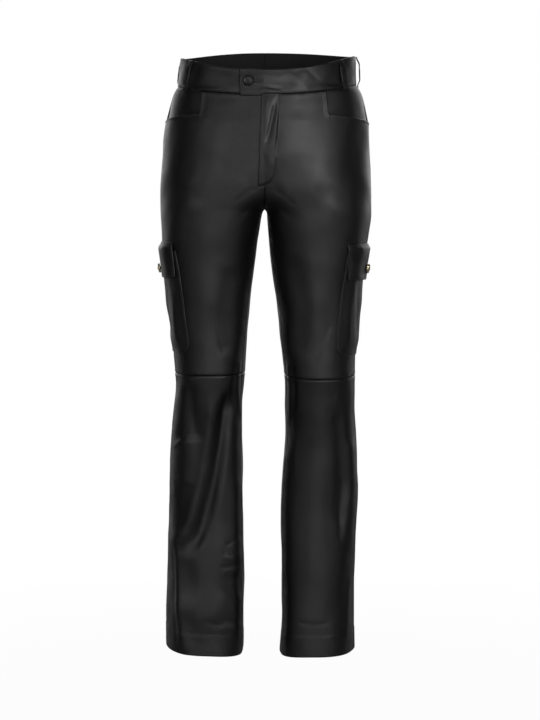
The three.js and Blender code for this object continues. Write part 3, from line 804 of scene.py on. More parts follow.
def creased(x: Array, z: Array, rows: Sequence[Sequence[float]], beyond: float) -> Array:
    """Height of short straight creases.

    Args:
        x: place across.
        z: height.
        rows: for each crease, x and z of its start and end, its height and its width.
        beyond: share of its length over which it fades past its ends.

    Returns:
        Height out of the cloth.
    """
    total = 0.0
    for x0, z0, x1, z1, size, width in rows:
        run, rise = x1 - x0, z1 - z0
        length = math.hypot(run, rise)
        along = ((x - x0) * run + (z - z0) * rise) / length**2
        away = ((x - x0) * rise - (z - z0) * run) / length
        ends = ease(-beyond, 0.3, along) * ease(-beyond, 0.3, 1 - along)
        total = total + size * bell(away, width) * ends
    return total


def edge_distance(points: Array, edge: Array, between: int) -> Array:
    """Distance of points from a line of points.

    Args:
        points: the points, one in a row.
        edge: points along the line.
        between: number of places tried from one point of the line to the next.

    Returns:
        Distance of each point.
    """
    fine = np.concatenate([mix(edge[:-1], edge[1:], t) for t in np.linspace(0, 1, between)])
    near = []
    for start in range(0, len(points), 400):
        apart = points[start : start + 400, None] - fine[None]
        near.append(np.linalg.norm(apart, axis=-1).min(axis=1))
    return np.concatenate(near)


def pucker(along: Array, distance: Array, seed: int, size: float) -> Array:
    """Small gathers of the cloth along a line of stitches.

    Args:
        along: length along the line.
        distance: distance from the line.
        seed: seed of the gathers.
        size: height of the gathers.

    Returns:
        Height out of the cloth.
    """
    draw = np.random.default_rng(seed)
    total = 0.0
    for length in (6.5, 9.0, 14.0, 23.0):
        total = total + np.sin(2 * math.pi * along / length + draw.uniform(0, 6.3))
    return size * total * bell(distance, 5.0) / 2


# Shader trees


class Signal:
    """A number socket of a shader tree that takes part in plain arithmetic."""

    def __init__(self, tree: Tree, socket: bpy.types.NodeSocket) -> None:
        """Wrap an output socket of a tree."""
        self.tree = tree
        self.socket = socket

    def _with(
        self, operation: str, other: Signal | float, swap: bool = False, clamp: bool = False
    ) -> Signal:
        """Math node of this value and another one.

        Args:
            operation: the node's operation.
            other: a number or a signal.
            swap: the other value comes first.
            clamp: keep the result between 0 and 1.

        Returns:
            The result as a signal.
        """
        pair = (other, self) if swap else (self, other)
        settings = {"operation": operation, "use_clamp": clamp}
        return self.tree.node("ShaderNodeMath", settings, dict(enumerate(pair))).out()

    def __add__(self, other: Signal | float) -> Signal:
        """Sum."""
        return self._with("ADD", other)

    __radd__ = __add__

    def __sub__(self, other: Signal | float) -> Signal:
        """Difference."""
        return self._with("SUBTRACT", other)

    def __rsub__(self, other: Signal | float) -> Signal:
        """Difference from a number."""
        return self._with("SUBTRACT", other, swap=True)

    def __mul__(self, other: Signal | float) -> Signal:
        """Product."""
        return self._with("MULTIPLY", other)

    __rmul__ = __mul__

    def __truediv__(self, other: Signal | float) -> Signal:
        """Quotient."""
        return self._with("DIVIDE", other)

    def clamped(self) -> Signal:
        """The value kept between 0 and 1."""
        return self._with("ADD", 0.0, clamp=True)

    def between(self, low: float, high: float) -> Signal:
        """0 at low and 1 at high, straight between them."""
        return ((self - low) / (high - low)).clamped()


class Node:
    """A node of a shader tree."""

    def __init__(self, tree: Tree, made: bpy.types.Node) -> None:
        """Wrap a node that the tree made."""
        self.tree = tree
        self.made = made

    def out(self, name: str | int = 0) -> Signal:
        """An output of the node as a signal."""
        return Signal(self.tree, self.made.outputs[name])


class Tree:
    """The nodes of a material or of the surroundings."""

    def __init__(self, owner: bpy.types.ID) -> None:
        """Empty the tree of a material or a world.

        Args:
            owner: the material or world.
        """
        owner.use_nodes = True
        self.nodes = owner.node_tree.nodes
        self.links = owner.node_tree.links
        self.nodes.clear()

    def feed(self, socket: bpy.types.NodeSocket, value: Signal | float | tuple) -> None:
        """Link a signal to a socket, or set the socket's own value.

        Args:
            socket: an input socket.
            value: what it takes.
        """
        if isinstance(value, Signal):
            self.links.new(value.socket, socket)
        else:
            socket.default_value = value

    def node(self, kind: str, settings: dict | None = None, inputs: dict | None = None) -> Node:
        """Add a node.

        Args:
            kind: the node's type.
            settings: its own settings; a ramp's stops are pairs of place and colour.
            inputs: values or signals of its sockets, by name or number.

        Returns:
            The node.
        """
        made = self.nodes.new(kind)
        for name, value in (settings or {}).items():
            if name == "stops":
                ramp = made.color_ramp
                while len(ramp.elements) < len(value):
                    ramp.elements.new(0.5)
                for element, (place, colour) in zip(ramp.elements, value):
                    element.position = place
                    element.color = (*colour, 1.0)
            else:
                setattr(made, name, value)
        for name, value in (inputs or {}).items():
            self.feed(made.inputs[name], value)
        return Node(self, made)


class Finish(Tree):
    """A material that is built as a tree of nodes."""

    def __init__(self, name: str) -> None:
        """Make an empty material with its shader.

        Args:
            name: name of the material.
        """
        self.material = bpy.data.materials.new(name)
        super().__init__(self.material)
        self.shader = self.node("ShaderNodeBsdfPrincipled")
        self.output = self.node("ShaderNodeOutputMaterial", None, {0: self.shader.out()})

    def set(self, **values: Signal | float | tuple) -> None:
        """Set or link sockets of the shader, their names with _ for spaces."""
        for name, value in values.items():
            self.feed(self.shader.made.inputs[name.replace("_", " ")], value)

    def blend(self, factor: Signal, low: tuple, high: tuple) -> Signal:
        """Mix of two colours."""
        colours = {0: factor, 6: (*low, 1.0), 7: (*high, 1.0)}
        return self.node("ShaderNodeMix", {"data_type": "RGBA"}, colours).out(2)

    def place(self) -> Signal:
        """Place on the object, in metres."""
        return self.node("ShaderNodeTexCoord").out("Object")

    def noise(
        self, scale: float, detail: float, rough: float, place: Signal | None = None
    ) -> Signal:
        """Noise of a number of lumps to the metre.

        Args:
            scale: lumps to the metre.
            detail: number of octaves.
            rough: share of the finer ones.
            place: where it is read, on the object when not given.

        Returns:
            The noise.
        """
        inputs = {"Vector": place or self.place(), "Scale": scale}
        inputs.update({"Detail": detail, "Roughness": rough})
        return self.node("ShaderNodeTexNoise", None, inputs).out()

    def cells(self, scale: float, feature: str, place: Signal) -> Signal:
        """Distance pattern of cells."""
        inputs = {"Vector": place, "Scale": scale}
        return self.node("ShaderNodeTexVoronoi", {"feature": feature}, inputs).out("Distance")

    def bump(self, height: Signal, depth: float, strength: float) -> None:
        """Relief of a height between 0 and 1, depth in metres."""
        inputs = {"Height": height, "Distance": depth, "Strength": strength}
        self.set(Normal=self.node("ShaderNodeBump", None, inputs).out())


@dataclass(frozen=True)
class NappaFinish:
    """Fine-grained black leather with a satin surface."""

    name: str = "black_nappa"
    dark: tuple = (0.0020, 0.0018, 0.0021)
    light: tuple = (0.0042, 0.0038, 0.0044)
    rough: float = 0.385
    rough_range: float = 0.16
    grain_depth: float = 0.00022
    warp: float = 0.0016
    coat: float = 0.12

    def build(self) -> bpy.types.Material:
        """Make the material.

        Returns:
            The material.
        """
        finish = Finish(self.name)
        spot = finish.place()
        wander = finish.noise(55.0, 3.0, 0.6, spot)
        drift = finish.node("ShaderNodeTexNoise", None, {"Vector": spot, "Scale": 240.0})
        warped = finish.node(
            "ShaderNodeVectorMath",
            {"operation": "MULTIPLY_ADD"},
            {0: drift.out("Color"), 1: (self.warp, self.warp, self.warp), 2: spot},
        ).out()
        pebble = finish.cells(760.0, "F1", warped)
        crack = finish.cells(760.0, "DISTANCE_TO_EDGE", warped).between(0.0, 0.16)
        fine = finish.noise(2600.0, 2.0, 0.6, spot)
        height = crack * 0.62 + (1 - pebble) * 0.28 + fine * 0.22
        finish.bump(height, self.grain_depth, 0.75)
        cloud = finish.noise(14.0, 4.0, 0.62, spot)
        shade = (cloud * 0.6 + wander * 0.4).between(0.3, 0.7)
        finish.set(
            Base_Color=finish.blend(shade, self.dark, self.light),
            Roughness=self.rough + (wander - 0.5) * self.rough_range + (1 - crack) * 0.10,
            Specular_IOR_Level=0.5,
            Coat_Weight=self.coat,
            Coat_Roughness=0.28,
        )
        return finish.material


@dataclass(frozen=True)
class LiningFinish:
    """Flesh side of the leather, seen inside the waist and the hems."""

    name: str = "flesh_side"

    def build(self) -> bpy.types.Material:
        """Make the material.

        Returns:
            The material.
        """
        finish = Finish(self.name)
        nap = finish.noise(900.0, 4.0, 0.7)
        patch = finish.noise(40.0, 3.0, 0.6)
        finish.set(
            Base_Color=finish.blend(patch, (0.008, 0.0075, 0.008), (0.018, 0.0165, 0.017)),
            Roughness=0.82 + (nap - 0.5) * 0.2,
            Specular_IOR_Level=0.3,
        )
        finish.bump(nap, 0.0003, 0.6)
        return finish.material


@dataclass(frozen=True)
class ThreadFinish:
    """Twisted black sewing thread with a silky light."""

    name: str = "black_thread"

    def build(self) -> bpy.types.Material:
        """Make the material.

        Returns:
            The material.
        """
        finish = Finish(self.name)
        twist = finish.noise(4200.0, 1.0, 0.5)
        tone = finish.noise(120.0, 2.0, 0.5)
        finish.set(
            Base_Color=finish.blend(tone, (0.016, 0.0155, 0.0165), (0.045, 0.043, 0.045)),
            Roughness=0.36 + (twist - 0.5) * 0.2,
        )
        finish.bump(twist, 0.00012, 0.7)
        return finish.material


@dataclass(frozen=True)
class CastMetalFinish:
    """Pale cast metal, bright on its high spots and dark in its hollows."""

    name: str = "cast_button_metal"

    def build(self) -> bpy.types.Material:
        """Make the material.

        Returns:
            The material.
        """
        finish = Finish(self.name)
        speck = finish.noise(900.0, 3.0, 0.6)
        sharp = finish.node("ShaderNodeNewGeometry").out("Pointiness").between(0.44, 0.56)
        worn = (sharp * 0.75 + speck * 0.35).clamped()
        finish.set(
            Base_Color=finish.blend(worn, (0.09, 0.065, 0.035), (0.86, 0.74, 0.5)),
            Roughness=0.42 - worn * 0.2 + (speck - 0.5) * 0.1,
            Metallic=1.0,
        )
        finish.bump(speck, 0.0002, 0.4)
        return finish.material


@dataclass(frozen=True)
class ButtonFinish:
    """Moulded black button with a satin gloss."""

    name: str = "black_button"

    def build(self) -> bpy.types.Material:
        """Make the material.

        Returns:
            The material.
        """
        finish = Finish(self.name)
        streak = finish.noise(300.0, 4.0, 0.65)
        scuff = finish.noise(1800.0, 2.0, 0.5)
        finish.set(
            Base_Color=finish.blend(streak, (0.004, 0.004, 0.0045), (0.010, 0.0095, 0.010)),
            Roughness=0.34 + (scuff - 0.5) * 0.12,
            Coat_Weight=0.1,
            Coat_Roughness=0.2,
        )
        finish.bump(scuff, 0.00006, 0.4)
        return finish.material


@dataclass
class Wardrobe:
    """The finishes that the pieces share."""

    leather: bpy.types.Material = field(default_factory=NappaFinish().build)
    lining: bpy.types.Material = field(default_factory=LiningFinish().build)
    thread: bpy.types.Material = field(default_factory=ThreadFinish().build)
    metal: bpy.types.Material = field(default_factory=CastMetalFinish().build)
    button: bpy.types.Material = field(default_factory=ButtonFinish().build)

    def cloth(self, piece: bpy.types.Object, node: str) -> None:
        """Dress a piece of leather that stands for a node.

        Args:
            piece: the piece.
            node: name of the node.
        """
        for material in (self.leather, self.lining):
            piece.data.materials.append(material)
        self.attach(piece, "leather", node)

    def cut(
        self, node: str, outer: Array, inner: Array, keep: Array | None = None
    ) -> bpy.types.Object:
        """Make a shell of leather that stands for a node, and dress it.

        Args:
            node: name of the node.
            outer: outer points.
            inner: inner points.
            keep: cells that are cloth, all of them when not given.

        Returns:
            The piece.
        """
        piece = shell(node + "_leather", outer, inner, keep)
        self.cloth(piece, node)
        return piece

    def attach(self, piece: bpy.types.Object, slot: str, *nodes: str) -> None:
        """Fix a piece to the body and hide the solids it stands for.

        Args:
            piece: the piece.
            slot: not used.
            nodes: names of the nodes.
        """
        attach(piece, BODY)
        if nodes:
            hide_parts(*nodes)
        LOG.info("%s: %d faces", piece.name, len(piece.data.polygons))


# Stitches


class StitchRow:
    """A row of stitches sunk half into the leather."""

    SIDES = 6
    PROFILE = ((-0.5, 0.12), (-0.42, 0.75), (-0.2, 1.0), (0.2, 1.0), (0.42, 0.75), (0.5, 0.12))

    def __init__(
        self, seed: int, pitch: float = 3.6, length: float = 2.75, radius: float = 0.36
    ) -> None:
        """Set the stitch.

        Args:
            seed: seed of the small unevenness.
            pitch: distance from one stitch to the next.
            length: length of a stitch that shows.
            radius: half the thread's thickness.
        """
        self.pitch, self.length, self.radius = pitch, length, radius
        self.draw = np.random.default_rng(seed)
        self.vertices: list[Array] = []

    def sew(self, points: Array, normals: Array, sink: float = 0.1) -> None:
        """Add stitches along a line.

        Args:
            points: points of the line on the surface.
            normals: outward normals at the points.
            sink: how far the thread's middle lies over the surface.
        """
        if len(points) < 2:
            return
        far = run_along(points[None], 1)[0]
        count = max(1, int(far[-1] // self.pitch))
        start = (far[-1] - count * self.pitch) / 2
        for number in range(count):
            middle = start + (number + 0.5) * self.pitch
            ends = [middle - self.length / 2, middle + self.length / 2]
            at = np.array([[np.interp(s, far, points[:, k]) for k in range(3)] for s in ends])
            up = np.array([np.interp(middle, far, normals[:, k]) for k in range(3)])
            self._stitch(at[0], at[1], up, sink)

    def follow(
        self, grid: Grid, distance: Array, level: float, height: Array, rows: bool, split: int = 0
    ) -> None:
        """Add stitches over a grid, at one level of a distance.

        Args:
            grid: the grid.
            distance: distance of each point from an edge.
            level: distance the stitches keep.
            height: height of the surface.
            rows: find one point in each row, or else in each column.
            split: number of the column or row that parts two lines, 0 for a single line.
        """
        every = slice(None)
        for cut in (slice(0, split), slice(split, None)) if split else (every,):
            place = (every, cut) if rows else (cut, every)
            self.sew(*grid.part(place).line(distance[place], level, height[place], rows))

    def _stitch(self, start: Array, end: Array, up: Array, sink: float) -> None:
        """Add one stitch between two points.

        Args:
            start: one end.
            end: the other end.
            up: outward normal.
            sink: height of its middle.
        """
        forward = unit(end - start)
        across = unit(np.cross(forward, up))
        forward = unit(forward + across * self.draw.normal(0, 0.035))
        up = unit(np.cross(across, forward))
        centre = (start + end) / 2 + up * sink
        place, share = np.array(self.PROFILE).T[:, :, None, None]
        turn = 2 * math.pi * np.arange(self.SIDES)[:, None] / self.SIDES
        offset = across * np.cos(turn) + up * np.sin(turn)
        drop = -0.35 * self.radius * (2 * np.abs(place)) ** 3
        rings = centre + forward * place * self.length + up * drop
        self.vertices.append((rings + offset * self.radius * share).reshape(-1, 3))

    def finish(self, name: str, wardrobe: Wardrobe) -> None:
        """Make the stitches one piece, each with closed ends.

        Args:
            name: name of the piece.
            wardrobe: the finishes.
        """
        sides, rows = self.SIDES, len(self.PROFILE)
        here = np.arange((rows - 1) * sides)
        after = here // sides * sides + (here + 1) % sides
        walls = np.stack([here + sides, after + sides, after, here], -1).tolist()
        last = list(range((rows - 1) * sides, rows * sides))
        caps = [list(range(sides)), last[::-1]]
        starts = [number * sides * rows for number in range(len(self.vertices))]
        faces = [
            [corner + start for corner in face]
            for group in (walls, caps) for start in starts for face in group
        ]
        piece = make_object(name, np.concatenate(self.vertices), faces)
        piece.data.materials.append(wardrobe.thread)
        wardrobe.attach(piece, "leather")


# Pieces


@dataclass
class HipPocketShape:
    """Corner of the L-shaped mouth of a front pocket."""

    top_x: float
    corner_x: float
    corner_z: float
    side_z: float


HIP_POCKETS = {
    Side.RIGHT: HipPocketShape(114.0, 119.5, -103.0, -117.0),
    Side.LEFT: HipPocketShape(113.0, 117.5, -105.0, -121.0),
}


@dataclass
class LegPanels:
    """The four panels of one leg and the pocket facing at the hip."""

    side: Side
    wardrobe: Wardrobe
    step: float = 3.0
    mouth_margin: float = 12.0
    lip_stitch: float = 3.9
    split_at_knee: float = 0.72
    above_power: float = 1.45
    below_power: float = 1.35
    front_width: float = 115.0
    side_width: float = 75.0
    back_width: float = 230.0
    hem_allowance: float = 39.0

    def columns_between(
        self, low: Array, high: Array, z: Array, share: Array, length: float
    ) -> Array:
        """Angles a share of the way across, evened out in length of cloth.

        Args:
            low: angle at the first column.
            high: angle at the last column.
            z: height.
            share: graded share of the way.
            length: length of cloth that the shares were graded for.

        Returns:
            The angles.
        """
        turn = np.sign(high - low)
        reach = EDGE_STEPS[-1]
        first = reach / self.form(low + turn * 0.03, z)
        last = reach / self.form(high - turn * 0.03, z)
        edge = reach / length
        start = np.clip(share / edge, 0, 1) * first
        end = np.clip((1 - share) / edge, 0, 1) * last
        inner = np.clip((share - edge) / (1 - 2 * edge), 0, 1)
        middle = mix(low + turn * first, high - turn * last, inner)
        after = np.where(share > 1 - edge, high - turn * end, middle)
        return np.where(share < edge, low + turn * start, after)

    def form(self, angle: Array, z: Array) -> Array:
        """Length of cloth per radian."""
        return FORM.spacing(self.side, angle, z)

    def edges(self, face: Face, z: Array) -> tuple[Array, Array]:
        """Angles of a panel's inner edge and of its outseam edge.

        Args:
            face: front or back.
            z: height.

        Returns:
            The two angles.
        """
        low = FORM.inseam_angle(self.side, face, z)
        out = FORM.outseam_angle(self.side, z) - (0 if face is Face.FRONT else 2 * math.pi)
        return low, out - face.value * EDGE_GAP / self.form(out, z)

    def rows_above(self) -> Array:
        """Shares from the waist seam down to the crotch, close together at both.

        Returns:
            Shares from 0 to 1.
        """
        drop, near = 215, 225
        count = round(drop / self.step)
        share = 1 - (1 - np.arange(count + 1) / count) ** self.above_power
        top = np.array(EDGE_STEPS[:-1]) / near
        return np.concatenate([top, share[share > 5.4 / near]])

    def rows_below(self) -> Array:
        """Shares from the crotch down to the knee seam, close together at both.

        Returns:
            Shares from 0 to 1.
        """
        drop, near = 310, 308
        count = round(drop / self.step)
        share = (np.arange(count + 1) / count) ** self.below_power
        end = 1 - np.array(EDGE_STEPS[-2::-1]) / near
        return np.concatenate([share[(share > 0) & (share < 1 - 5.2 / near)], end])

    def thigh_grid(self, face: Face, shares: Array, length: float) -> tuple[Array, Array]:
        """Angles and heights of a thigh panel with no pocket cut.

        Args:
            face: front or back.
            shares: shares across the panel, from its inner edge.
            length: rough width of the panel.

        Returns:
            Angle and z of each point.
        """
        position = face.value * (1 - shares)[None, :]
        top = FORM.waist_seam(self.side, position) - EDGE_GAP
        knee = FORM.knee_seam(self.side, position) + EDGE_GAP
        above = mix(top, CROTCH_Z, self.rows_above()[:, None])
        below = mix(CROTCH_Z, knee, self.rows_below()[:, None])
        z = np.concatenate([above, below])
        low, high = self.edges(face, z)
        return self.columns_between(low, high, z, shares, length), z

    def to_centre(self, points: Array, from_left: Array) -> Array:
        """Points whose first column meets the centre plane above the crotch.

        Args:
            points: a surface of a thigh panel.
            from_left: length of cloth from its inner edge.

        Returns:
            The points, moved near that edge.
        """
        edge = points[:, :1]
        shift = self.side.value * 0.03 - edge[..., 0]
        held = ease(CROTCH_Z - 9.0, CROTCH_Z, edge[..., 2])
        shift = np.where(edge[..., 2] < CROTCH_Z, np.clip(shift, -1.0, 1.0), shift)
        moved = points.copy()
        moved[..., 0] += shift * held * (1 - ease(0, 8, from_left))
        return moved

    def cloth(
        self, node: str, grid: Grid, height: Array, thickness: Array | float = LEATHER
    ) -> bpy.types.Object:
        """Make a panel of the leg and dress it.

        Args:
            node: name of the node it stands for.
            grid: the panel's grid.
            height: height of its outer face over the grid.
            thickness: thickness of the leather.

        Returns:
            The piece.
        """
        outer, inner = grid.raised(height), grid.raised(height - thickness)
        if "thigh" in node:
            outer, inner = (self.to_centre(layer, grid.from_left) for layer in (outer, inner))
        return self.wardrobe.cut(node, outer, inner, grid.keep)

    def back_thigh(self) -> None:
        """Back panel from the waist to the knee."""
        shares = graded(self.back_width, self.step)
        grid = on_skin(self.side, *self.thigh_grid(Face.BACK, shares, self.back_width))
        piece = self.cloth(f"back_thigh_{self.side.word}", grid, self.seams(grid, 31))

    def seams(self, grid: Grid, seed: int) -> Array:
        """Height of a panel that is sewn on all four sides.

        Args:
            grid: the grid.
            seed: seed of the gathers.

        Returns:
            Height over the grid.
        """
        height = sewn(
            (grid.from_top, WAIST_EDGE), (grid.from_bottom, KNEE_EDGE),
            (grid.from_right, OUTSEAM_EDGE), (grid.from_left, INSEAM_EDGE),
        )
        height += pucker(grid.from_left, grid.from_top, seed, 0.22)
        height += pucker(grid.from_left, grid.from_bottom, seed + 1, 0.3)
        height += pucker(grid.from_top, grid.from_right, seed + 2, 0.2)
        return height + pucker(grid.from_top, grid.from_left, seed + 3, 0.14)

    def front_layout(self) -> tuple[Array, Array, int, int]:
        """Lay out the rows and columns of the front panel round the pocket mouth.

        Returns:
            Angle and z of each point, the rows beside the mouth, and the columns under the
            waist seam.
        """
        shape = HIP_POCKETS[self.side]
        across = graded(self.front_width, self.step)
        beyond = graded(self.side_width, self.step)[1:]
        drop = graded(36, 2.4)
        n_a, n_b, n_top = len(across), len(beyond), len(drop)
        run = 175
        clustered = 1 - (1 - np.linspace(0, 1, round(run / self.step))) ** self.above_power
        near = np.array(EDGE_STEPS[1:-1]) / run
        to_crotch = np.concatenate([near, clustered[clustered > 5.2 / run]])
        below = self.rows_below()
        rows = n_top + len(to_crotch) + len(below)
        angle = np.zeros((rows, n_a + n_b))
        z = np.zeros_like(angle)

        v = drop[:, None]
        level = mix(-70.0, shape.corner_z, v) + 0 * across[None, :]
        for _ in range(6):
            inner = FORM.centre_angle(self.side, level)
            edge = FORM.front_angle(self.side, mix(shape.top_x, shape.corner_x, v), level)
            turned = self.columns_between(inner, edge, level, across, self.front_width)
            out = FORM.outseam_angle(self.side, level)
            position = (out - turned) / (out - inner)
            level = mix(FORM.waist_seam(self.side, position) - EDGE_GAP, shape.corner_z, v)
        angle[:n_top, :n_a], z[:n_top, :n_a] = turned, level
        angle[:n_top, n_a:], z[:n_top, n_a:] = turned[:, -1:], level[:, -1:]

        corner_edge = FORM.front_angle(self.side, shape.corner_x, np.array(shape.corner_z))
        corner_in, corner_out = self.edges(Face.FRONT, np.array(shape.corner_z))
        corner_share = (corner_edge - corner_in) / (corner_out - corner_in)
        mouth = mix(shape.corner_z, shape.side_z, beyond)
        line = np.concatenate([np.full(n_a, shape.corner_z), mouth])
        crotch_rows = mix(line[None, :], CROTCH_Z, to_crotch[:, None])
        split = self.split_at_knee
        knee_share = np.concatenate([across * split, mix(split, 1, beyond)])
        knee = FORM.knee_seam(self.side, 1 - knee_share) + EDGE_GAP
        knee_rows = mix(CROTCH_Z, knee[None, :], below[:, None])
        level = np.concatenate([crotch_rows, knee_rows])
        down = np.clip((shape.corner_z - level) / (shape.corner_z + 588), 0, 1)
        low, high = self.edges(Face.FRONT, level)
        middle = mix(low, high, mix(corner_share, split, ease(0, 1, down)))
        a, b = slice(None, n_a), slice(n_a, None)
        angle[n_top:, a] = self.columns_between(
            low[:, a], middle[:, a], level[:, a], across, self.front_width
        )
        angle[n_top:, b] = self.columns_between(
            middle[:, b], high[:, b], level[:, b], beyond, self.side_width
        )
        z[n_top:] = level
        z[n_top - 1, b] = mouth
        low_line, high_line = self.edges(Face.FRONT, mouth)
        middle_line = mix(low_line, high_line, corner_share)
        angle[n_top - 1, b] = self.columns_between(
            middle_line, high_line, mouth, beyond, self.side_width
        )
        return angle, z, n_top, n_a

    def front_thigh(self) -> None:
        """Front panel with the pocket mouth cut out of its upper corner."""
        angle, z, n_top, n_a = self.front_layout()
        rows, columns = angle.shape
        grid = on_skin(self.side, angle, z)
        grid.keep = np.ones((rows - 1, columns - 1), bool)
        grid.keep[: n_top - 1, n_a - 1 :] = False
        lip = self.lip_distance(grid, n_top, n_a)
        from_top = np.where(np.arange(columns)[None, :] < n_a, grid.from_top, FAR)
        right = np.where(np.arange(rows)[:, None] >= n_top - 1, grid.from_right, FAR)
        height = sewn(
            (from_top, WAIST_EDGE), (grid.from_bottom, KNEE_EDGE),
            (grid.from_left, INSEAM_EDGE), (right, OUTSEAM_EDGE),
        )
        height += self.lip_relief(lip) * ease(0, 6, np.minimum(from_top, right) + 2)
        height += pucker(grid.from_left, from_top, 41 + self.side.value, 0.36)
        height += pucker(grid.from_left, grid.from_bottom, 44 + self.side.value, 0.3)
        run, beside = grid.from_top + grid.from_left, np.abs(lip - self.lip_stitch)
        height += pucker(run, beside, 47, 0.24)
        piece = self.cloth(f"front_thigh_{self.side.word}", grid, height)

        stitches = StitchRow(61, pitch=3.4, length=2.5, radius=0.3)
        for place, each_row in (
            ((slice(None, n_top), slice(None, n_a)), True),
            ((slice(n_top - 1, None), slice(n_a - 1, None)), False),
        ):
            part = grid.part(place)
            stitches.follow(part, lip[place], self.lip_stitch, height[place], each_row)
        stitches.finish(f"hip_pocket_stitches_{self.side.word}", self.wardrobe)

    def lip_distance(self, grid: Grid, n_top: int, n_a: int) -> Array:
        """Distance of each point from the edge of the pocket mouth.

        Args:
            grid: the front panel.
            n_top: number of rows beside the mouth.
            n_a: number of columns under the waist seam.

        Returns:
            Distances, FAR where the mouth isn't near.
        """
        points = grid.points
        edge = np.concatenate([points[:n_top, n_a - 1], points[n_top - 1, n_a:]])
        level = np.abs(points[..., 2] - edge[:, 2].mean())
        close = (level < 60) & (np.abs(points[..., 0]) > 95)
        far = np.full(points.shape[:2], FAR)
        far[close] = edge_distance(points[close], edge, 9)
        return far

    def lip_relief(self, distance: Array) -> Array:
        """Height of the cloth beside the turned and stitched pocket mouth.

        Args:
            distance: distance from the mouth.

        Returns:
            Height over the grid.
        """
        doubled = 1.25 * (1 - ease(4.4, 7.4, distance))
        stitched = -0.55 * bell(distance - self.lip_stitch, 0.9)
        return -1.3 * rolled(distance, 1.7) + doubled + stitched

    def shin(self, face: Face) -> None:
        """Panel from the knee seam to the hem.

        Args:
            face: front or back.
        """
        width = 165 if face is Face.FRONT else 190
        shares = graded(width, self.step)
        position = face.value * (1 - shares)[None, :]
        down = graded(520, self.step)
        top = FORM.knee_seam(self.side, position) - EDGE_GAP
        z = mix(top, FORM.hem_line(self.side, position), down[:, None])
        low, high = self.edges(face, z)
        grid = on_skin(self.side, self.columns_between(low, high, z, shares, width), z)
        hem = grid.from_bottom
        past = hem - self.hem_allowance
        height = sewn(
            (grid.from_top, KNEE_EDGE), (grid.from_right, OUTSEAM_EDGE),
            (grid.from_left, INSEAM_EDGE),
        )
        height += pucker(grid.from_left, grid.from_top, 51 + face.value, 0.3)
        height += pucker(grid.from_top, grid.from_right, 54 + face.value, 0.2)
        turned = 0.5 * (1 - ease(-1.5, 1.5, past))
        crease = -0.35 * bell(past - 1.2, 1.6)
        height += turned + crease - 0.9 * rolled(hem, 1.6)
        height += pucker(grid.from_left, np.abs(past), 57 + face.value, 0.16)
        thickness = mix(LEATHER, 2.6, 1 - ease(-2, 2, past))
        piece = self.cloth(f"{face.word}_shin_{self.side.word}", grid, height, thickness)

    def facing(self) -> None:
        """Piece behind the pocket mouth, level with the cloth in its middle."""
        shape = HIP_POCKETS[self.side]
        u = graded(82, self.step, near_start=False)[None, :]
        v = 1 - graded(66, self.step, near_end=False)[:, None]
        low = mix(shape.corner_z, shape.side_z, u) - self.mouth_margin
        z = mix(low, FORM.waist_seam(self.side, np.array(0.5)), v)
        for _ in range(6):
            distance = mix(shape.corner_x, shape.top_x, v) - self.mouth_margin
            edge = FORM.front_angle(self.side, distance, z)
            out = FORM.outseam_angle(self.side, z) - EDGE_GAP / self.form(math.pi * 0.98, z)
            angle = mix(edge, out, u)
            centre = FORM.centre_angle(self.side, z)
            position = np.clip((out - angle) / (out - centre), 0, 1)
            z = mix(low, FORM.waist_seam(self.side, position) - EDGE_GAP, v)
        grid = on_skin(self.side, angle, z)
        inside = np.minimum(grid.from_left, grid.from_bottom) - self.mouth_margin
        height = mix(-(LEATHER + 1.4), -0.3, ease(4, 58, inside))
        height += sewn((grid.from_right, (0.9, 2.2, 0.1)), (grid.from_top, (0.8, 2.0, 0.2)))
        piece = self.cloth(f"hip_facing_{self.side.word}", grid, height)

    def build(self) -> None:
        """Make all the pieces of the leg."""
        self.front_thigh()
        self.back_thigh()
        self.shin(Face.FRONT)
        self.shin(Face.BACK)
        self.facing()


def hip_grid(x: Array, z: Array, front: bool = True) -> Grid:
    """Grid over the hips at signed distances from the centre plane.

    Args:
        x: signed distance.
        z: height.
        front: on the front, or else on the back.

    Returns:
        The grid.
    """
    x, z = np.broadcast_arrays(x, z)
    sign = 1 if front else -1
    angles = [sign * FORM.front_angle(side, np.abs(x), z) for side in Side]
    right, left = (on_skin(side, angle, z) for side, angle in zip(Side, angles))
    choose = (x < 0)[..., None]
    points = np.where(choose, right.points, left.points)
    return Grid(points, unit(np.where(choose, right.normals, left.normals)))


